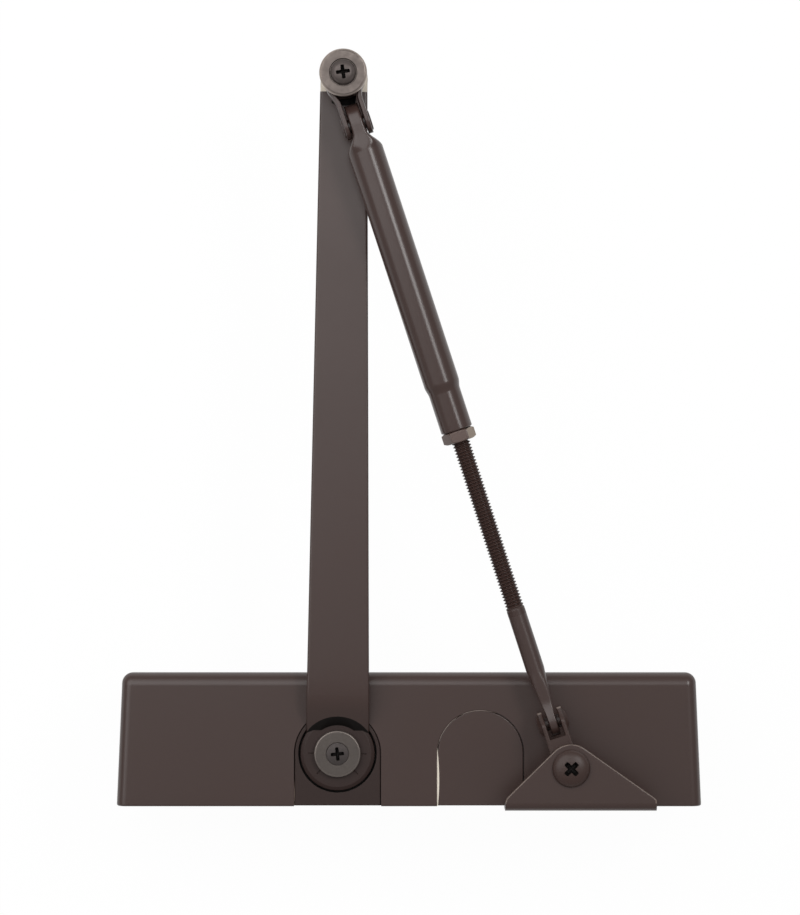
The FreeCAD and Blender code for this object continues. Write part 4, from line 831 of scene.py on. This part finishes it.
# forearm: a swaged tube, a lock nut and a threaded rod
forearm = {
    "tubeRadius": 7.7, "tongueHalf": 2.975, "tongueRadius": 7.2, "tongueLong": 8.8, "tongueSquare": 6.0,
    "shoulder": (3.4, 12.0), "tubeEnd": 117.0, "neckEnd": 120.2, "neckRows": 1.0, "neckEase": 0.6,
    "sleeve": 6.9, "sleeveEnd": 137.7, "lip": 0.6, "bore": 4.02, "boreDeep": 20.0,
    "nutFlats": 12.7, "nutTall": 5.0, "nutGap": 0.15, "nutFace": 0.94, "nutChamfer": 28.0, "nutRim": 0.2,
    "paleFlatAt": 295.0, "paleFlatHalf": 27.6,
    "threadRadius": 3.97, "threadRoot": 3.12, "pitch": 1.411, "threadStart": 98.0, "threadEnd": 217.5,
    "ridgeSlope": 1.3, "ridgeFoot": 0.15, "fadeLead": 1.0, "fadeRun": 3.0,
    "shank": 4.0, "flatLead": 2.0, "flatStart": 246.0, "flatEnd": 266.0, "spreadLead": 6.0, "pin": 270.304,
    "tipHalf": 1.9, "tipRadius": 5.9, "tipSquare": 7.0,
}


def onForearm(loops, ends="strips", marks=0):
    return placed([(loops, ends, marks)], "knucklePin", places["forearmYaw"], places["forearmDip"])


def forearmTube():
    # one outline swells from a flat tongue to a round tube and is drawn in again to the sleeve
    arm, around = forearm, wheel(96)
    tongue, long, lip, ease = pick(arm, "tongueRadius tongueLong lip neckEase")
    first, last = arm["shoulder"]
    tubeEnd, neckEnd, end, rows = pick(arm, "tubeEnd neckEnd sleeveEnd neckRows")
    body = runs(0.0, (first, 8), (last, 21), (tubeEnd - rows, 16), (neckEnd + rows, 21), (end - lip, 6))
    t = join(-long * np.cos(quarter(17)), body[1:])
    swell = smooth((t - first) / (last - first))
    drawn = smooth((t - tubeEnd + ease) / (neckEnd - tubeEnd + 2 * ease))
    full = between(arm["tubeRadius"], arm["sleeve"], drawn)
    wide = between(arm["tongueHalf"], full, swell)
    tall = np.where(t < 0, tongue * leg(1, t / long), between(tongue, full, swell))
    square = 2 + arm["tongueSquare"] * (1 - swell)
    y, z = superLoop(around, wide[:, None], tall[:, None], square[:, None])
    inside = arm["sleeve"] - lip
    mouth = [(inside + lip * math.cos(a), end - lip + lip * math.sin(a)) for a in quarter(5)[1:]]
    mouth += [(arm["bore"], end), (arm["bore"], end - arm["boreDeep"])]
    loops = join(grid(t[:, None], y, z), spun(mouth, around)[:, :, [2, 0, 1]])
    piece("forearmTube", onForearm(loops), [tubeBronze], "forearm_sleeve", ["forearm_tube"])


def lockNut():
    # a hexagon in polar steps whose corners are taken off by a cone at both ends
    arm, around, sixth = forearm, wheel(96), math.pi / 3
    flat, bore = arm["nutFlats"] / 2, arm["bore"]
    hexagon = flat / np.cos((around + sixth / 2) % sixth - sixth / 2)
    face = flat * arm["nutFace"]
    drop = (hexagon - face) * math.tan(math.radians(arm["nutChamfer"]))
    low = arm["sleeveEnd"] + arm["nutGap"]
    high = low + arm["nutTall"]
    stack = ((bore, low), (face, low), (hexagon, low + drop),
            (hexagon, high - drop), (face, high), (bore, high))
    loops = np.array([grid(x, -r * np.sin(around), r * np.cos(around)) for r, x in stack])
    # one flat is in a paler plated grey
    paleFlat = np.abs(around - math.radians(arm["paleFlatAt"])) < math.radians(arm["paleFlatHalf"])
    piece("lockNut", onForearm(loops, "joined", np.tile(paleFlat, len(stack))), [nutBronze, paleFlatZinc],
          "forearm_sleeve", ["jam_nut"], 20.0, rim=arm["nutRim"], rimAngle=25.0)


def threadedRod():
    # radius over angle and length: a ridge that climbs one pitch a turn, then a plain shank hammered flat
    arm, around = forearm, wheel(48)
    end, lead, fadeRun, shank = pick(arm, "threadEnd fadeLead fadeRun shank")
    run = np.arange(arm["threadStart"], end + fadeRun, arm["pitch"] / 10)[:, None]
    phase = (run / arm["pitch"] - around / (2 * math.pi)) % 1
    ridge = np.clip(np.abs(2 * phase - 1) * arm["ridgeSlope"] - arm["ridgeFoot"], 0, 1)
    cut = between(arm["threadRoot"], arm["threadRadius"], ridge)
    fade = smooth((run - end + lead) / fadeRun)
    thread = polar(cut * (1 - fade) + shank * fade, around, run)[:, :, [2, 0, 1]]
    pin, tip, flat, flatEnd = pick(arm, "pin tipRadius flatStart flatEnd")
    body = runs(end + fadeRun + lead, (flat - arm["flatLead"], 8), (flatEnd, 24), (pin, 6))
    t = join(body, pin + tip * np.sin(quarter(15))[1:])
    beaten = np.clip((t - flat) / (flatEnd - flat), 0, 1)
    spread = smooth((t - flatEnd + arm["spreadLead"]) / (pin - flatEnd + arm["spreadLead"]))
    wide = between(shank, arm["tipHalf"], beaten)
    tall = np.where(t > pin, leg(tip, t - pin), between(shank, tip, spread))
    square = 2 + arm["tipSquare"] * smooth(beaten)
    y, z = superLoop(around, wide[:, None], tall[:, None], square[:, None])
    loops = join(thread, grid(t[:, None], y, z))
    # the thread takes the darker enamel: painted shade
    piece("threadedRod", onForearm(loops, "strips", rowOf(loops) < len(thread)), [bronze, shadedBoltBronze],
          "forearm_end", ["forearm_rod"], 30.0)


# elbow knuckle: a bored barrel with two ears
knuckle = {
    "barrel": 9.2, "bore": 6.55, "bottom": 39.1, "top": 64.0, "pin": 22.0, "pinHeight": 56.0, "ear": 7.3,
    "earEnd": 5.4, "thick": 2.1, "square": 7.0, "offset": 4.75, "flare": 2.0, "flareFrom": 4.5,
    "flareRun": 8.0, "shift": -1.2, "start": 4.0,
}


collarSoft = (0.4, 0.5, 0.3)


def collar(size, radius):
    # a closed ring: a square profile with soft corners, carried round
    bore, low, high = pick(size, "bore bottom top")
    corners = [(bore, low), (radius, low), (radius, high), (bore, high), (bore, low)]
    return spun(softCorners(corners, collarSoft), wheel(96))


def elbowKnuckle():
    # each ear is a rounded strip that leaves the barrel's flank, bends in and ends in a half circle
    size = knuckle
    end, pin = size["earEnd"], size["pin"]
    x = join(np.linspace(size["start"], pin, 26), pin + end * np.sin(quarter(15))[1:])[:, None]
    tall = size["ear"] * leg(1, np.maximum(x - pin, 0) / end)
    bend = size["offset"] + size["flare"] * (1 - smooth((x - size["flareFrom"]) / size["flareRun"]))
    y, z = superLoop(wheel(48), size["thick"] / 2, tall, size["square"])
    parts = [(collar(size, size["barrel"]), "open", 0)]
    for side in (1, -1):
        parts.append((grid(x, size["shift"] + side * bend + y, size["pinHeight"] + z), "strips", 0))
    piece("elbowKnuckle", placed(parts, "elbow", places["forearmYaw"]), [bronze], "knuckle",
          ["elbow_knuckle"])


# closing spring, coiled from round wire, its end coils closed
spring = {
    "radius": 14.2, "wire": 2.2, "turns": 8.0, "dead": 0.9, "from": -77.6, "to": -4.3, "axis": (-23.0, 0.0),
    "anchor": -79.9, "keep": 0.614,
}


def closingSpring():
    # a ring of points carried along a helix, its pitch close at both ends
    coil = spring
    wire, dead, count, (y, z) = pick(coil, "wire dead turns axis")
    turns = np.linspace(0, count, 385)
    closed = dead * 2 * wire
    x = np.interp(turns, [0, dead, count - dead, count],
            [coil["from"], coil["from"] + closed, coil["to"] - closed, coil["to"]])[:, None]
    angle, around = 2 * math.pi * turns[:, None], wheel(16)
    reach = coil["radius"] + wire * np.cos(around)
    loops = grid(x + wire * np.sin(around), y + reach * np.cos(angle), z + reach * np.sin(angle))
    made = piece("closingSpring", [shell(loops)], [ground], "closer_body", ["main_spring"])
    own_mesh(made)


# rivet through the knuckle's ears, its heads hammered flat
rivet = {"radius": 3.0, "head": 4.3, "tall": 0.6, "half": 5.8, "soft": (0.4, 0.1, 0.1, 0.1, 0.1, 0.4)}


def knuckleRivet():
    # a turned pin laid across the forearm, with a low head at both ends
    half, head, radius = pick(rivet, "half head radius")
    far = half + rivet["tall"]
    profile = softCorners([(0.0, -far), (head, -far), (head, -half), (radius, -half), (radius, half),
            (head, half), (head, far), (0.0, far)], rivet["soft"])
    loops = spun(profile, wheel(48))[:, :, [0, 2, 1]]
    piece("knuckleRivet", placed([(loops, "open", 0)], "knucklePin", places["forearmYaw"]), [bronze],
          "knuckle", ["knuckle_pin"])


# clevis that hangs under the shoe, bent from plate
clevis = {
    "disc": 9.5, "bore": 3.95, "top": 54.5, "bottom": 51.6, "webEnd": -13.9, "webStart": -2.0, "webHalf": 5.3,
    "webSquare": 10.0, "pin": -20.2, "pinHeight": 45.5, "ear": 5.7, "tipHeight": 47.4, "tipCurve": 1.5,
    "heel": -8.0, "thick": 2.0, "square": 7.0, "offset": 4.3, "shift": -1.2, "paintedHighlightRows": 6,
}


def shoeClevis():
    # the ears' upper line runs level and falls to the tip, the lower line falls and turns round the pin
    size = clevis
    ear, pin, heel, shift = pick(size, "ear pin heel shift")
    top, bottom, pinHeight = pick(size, "top bottom pinHeight")
    x = join(np.linspace(heel, pin, 22), pin - ear * np.sin(quarter(15))[1:])[:, None]
    past = np.maximum(pin - x, 0)
    high = top - (top - size["tipHeight"]) * (past / ear) ** size["tipCurve"]
    fall = bottom + (pinHeight - ear - bottom) * (heel - x) / (heel - pin)
    low = np.where(past > 0, pinHeight - leg(ear, past), fall)
    y, z = superLoop(wheel(48), size["thick"] / 2, (high - low) / 2, size["square"])
    parts = [(collar(size, size["disc"]), "open", 0)]
    for side in (1, -1):
        loops = grid(x, shift + side * size["offset"] + y, (high + low) / 2 + z)
        parts.append((loops, "strips", rowOf(loops) > len(x) - size["paintedHighlightRows"]))
    across = np.linspace(size["webEnd"], size["webStart"], 8)[:, None]
    y, z = superLoop(wheel(48), size["webHalf"], (top - bottom) / 2, size["webSquare"])
    parts.append((grid(across, shift + y, (top + bottom) / 2 + z), "strips", 0))
    # the clevis takes the darker enamel as painted shade, the ears' tips a pale one as painted highlight
    piece("shoeClevis", placed(parts, "shoeBolt", places["forearmYaw"]), [shadedBoltBronze, paintedHighlightBronze],
          "clevis", ["shoe_clevis"])


# frame shoe, pressed from plate
shoePlate = {
    "near": 28.2, "far": 36.7, "shoulder": 5.0, "apex": 10.2, "setback": 18.35, "top": 58.1, "thick": 3.0,
    "bend": 3.4, "flange": 19.1, "soft": 0.8, "edge": 0.5, "highlightBand": 0.8, "shoulderRows": 2.5, "apexRows": 4.0,
    "rimRows": (0.0, 0.1, 0.3, 0.6, 1.0, 1.5), "rimShare": 2.2,
}


def shoeSide(y, reach):
    # half width over depth: straight at the flange, a line that touches the round apex, then the apex;
    # with the cosine of the outline's slant
    shoe = shoePlate
    apex, setback, shoulder = pick(shoe, "apex setback shoulder")
    away = math.hypot(reach, setback - shoulder)
    turn = math.atan2(setback - shoulder, reach) - math.acos(apex / away)
    touchX, touchY = apex * math.cos(turn), setback - apex * math.sin(turn)
    slant = (touchX - reach) / (touchY - shoulder)
    line = reach + (y - shoulder) * slant
    soft = 0.5 * (reach + line - np.sqrt((reach - line) ** 2 + shoe["soft"] ** 2))
    nose, straight = leg(apex, y - setback), y < touchY
    half = np.where(straight, np.minimum(soft, reach), nose)
    return half[:, None], np.where(straight, 1 / math.hypot(1, slant), nose / apex)[:, None]


def shoeShell():
    # the bent strip's outer line carried across, as wide at each depth as the outline is; the top face
    # rolls off near the outline, where a pale band is painted highlight
    shoe = shoePlate
    top, bend, edge, turnAt = shoe["top"], shoe["bend"], shoe["edge"], shoe["setback"] + shoe["apexRows"]
    nose = turnAt + (shoe["apex"] - shoe["apexRows"]) * np.sin(quarter(22))[1:]
    y = join(runs(bend, (shoe["shoulder"] + shoe["shoulderRows"], 14), (turnAt, 18)), nose)
    roll = quarter(9)[:-1]
    height = np.linspace(top - shoe["flange"], top - bend, 8)[:-1]
    depth = join(0 * height, bend * (1 - np.cos(roll)), y)
    level = join(height, top - bend + bend * np.sin(roll), np.full_like(y, top))[:, None]
    near, nearCos = shoeSide(depth, shoe["near"])
    far, farCos = shoeSide(depth, shoe["far"])
    wide = near + far
    steps = np.minimum(edge * np.array(shoe["rimRows"]), wide / shoe["rimShare"])
    inside = (wide - 2 * steps[:, -1:]) * np.linspace(0, 1, 19)[1:-1]
    across = np.hstack([steps, steps[:, -1:] + inside, wide - steps[:, ::-1]])
    apart = np.minimum(across * farCos, (wide - across) * nearCos)
    flat = level == top
    drop = np.where(flat, rollOff(edge, edge - apart), 0)
    lean = join(0 * height, roll, np.full_like(y, math.pi / 2))[:, None]
    x = across - far + places["shoeBolt"][0]
    back = -depth[:, None]
    outer = grid(x, back, level - drop)
    inner = grid(x, back - np.cos(lean) * shoe["thick"], level - np.sin(lean) * shoe["thick"])
    points, quads = shell(np.concatenate([outer, inner[:, ::-1]], 1))
    highlightBand = np.hstack([flat & (apart < edge * shoe["highlightBand"]), np.zeros_like(apart, bool)]).reshape(-1)
    paintedHighlight = (highlightBand[quads].sum(1) > 2).astype(int)
    shells = [(points, quads, paintedHighlight)]
    piece("shoePlate", shells, [bronze, paintedHighlightBronze], "frame_shoe", ["shoe"], 50.0)


coverShell()
slotInserts()
highlightEdge("blankHighlightEdge")
highlightEdge("spindleHighlightEdge")
highlightArchEdge()
mainArm()
plainWasher("elbowWasher", "elbow", elbowZinc, "elbow_washer")
plainWasher("armWasher", "spindle", spindleZinc, "arm_washer")
crossScrew("elbowScrew", domedHead, "elbow", phosphate, "spindle_arm", "elbow_screw")
# the shoe bolt takes the darker enamel: painted shade
crossScrew("shoeBolt", domedHead, "shoeBolt", shadedBoltBronze, "frame_shoe", "shoe_bolt")
crossScrew("armScrew", flatHead, "spindle", shadedPhosphate, "spindle_arm", "arm_screw")
forearmTube()
lockNut()
threadedRod()
closingSpring()
elbowKnuckle()
knuckleRivet()
shoeClevis()
shoeShell()
print("pieces made")


# floor and light, in metres; the floor's glow is what the camera and reflections see of it
floorLook = {"half": 6.0, "paint": "#fcfcfc", "glow": 0.97}


def studio():
    low, half = cadBox[0].z, floorLook["half"]
    corners = [(-half, -half, low), (half, -half, low), (half, half, low), (-half, half, low)]
    data = bpy.data.meshes.new("floor")
    data.from_pydata(corners, [], [(0, 1, 2, 3)])
    floor = addObject("floor", data)
    material, tree = emptyMaterial("paleFloor")
    paint = addNode(tree, "BsdfDiffuse", {"Color": toLinear(floorLook["paint"])})
    glow = addNode(tree, "Emission", {"Color": white, "Strength": 1.0})
    rays = addNode(tree, "LightPath").outputs
    seen = rays["Is Camera Ray"]
    for ray in ("Is Glossy Ray", "Is Transmission Ray"):
        seen = addNode(tree, "Math", {}, {0: seen, 1: rays[ray]}, operation="MAXIMUM").outputs[0]
    share = addNode(tree, "Math", {1: floorLook["glow"]}, {0: seen}, operation="MULTIPLY")
    mix = addNode(tree, "MixShader", {},
            {0: share.outputs[0], 1: paint.outputs[0], 2: glow.outputs[0]})
    addNode(tree, "OutputMaterial", links={"Surface": mix.outputs[0]})
    data.materials.append(material)


lamps = {
    "overhead": {"at": (1.09, -0.9, 1.5), "lean": 0.0, "spin": 20.0, "wide": 2.2, "long": 2.0, "power": 27.5},
    "strip": {"at": (-0.84, -0.75, 1.5), "lean": -30.0, "spin": 0.0, "wide": 0.44, "long": 0.9,
        "power": 11.0},
}
tentGlow = 0.4


def softLights():
    for name, lamp in lamps.items():
        data = bpy.data.lights.new(name, "AREA")
        data.shape = "RECTANGLE"
        data.size = lamp["wide"]
        data.size_y = lamp["long"]
        data.energy = lamp["power"]
        light = addObject(name, data)
        light.location = lamp["at"]
        light.rotation_euler = (0.0, math.radians(lamp["lean"]), math.radians(lamp["spin"]))
    world = bpy.data.worlds.new("tent")
    world.use_nodes = True
    back = world.node_tree.nodes["Background"]
    back.inputs["Color"].default_value = white
    back.inputs["Strength"].default_value = tentGlow
    bpy.context.scene.world = world


photoCamera()
studio()
softLights()
bpy.context.scene.view_settings.view_transform = "Standard"
print("camera, floor and light set")
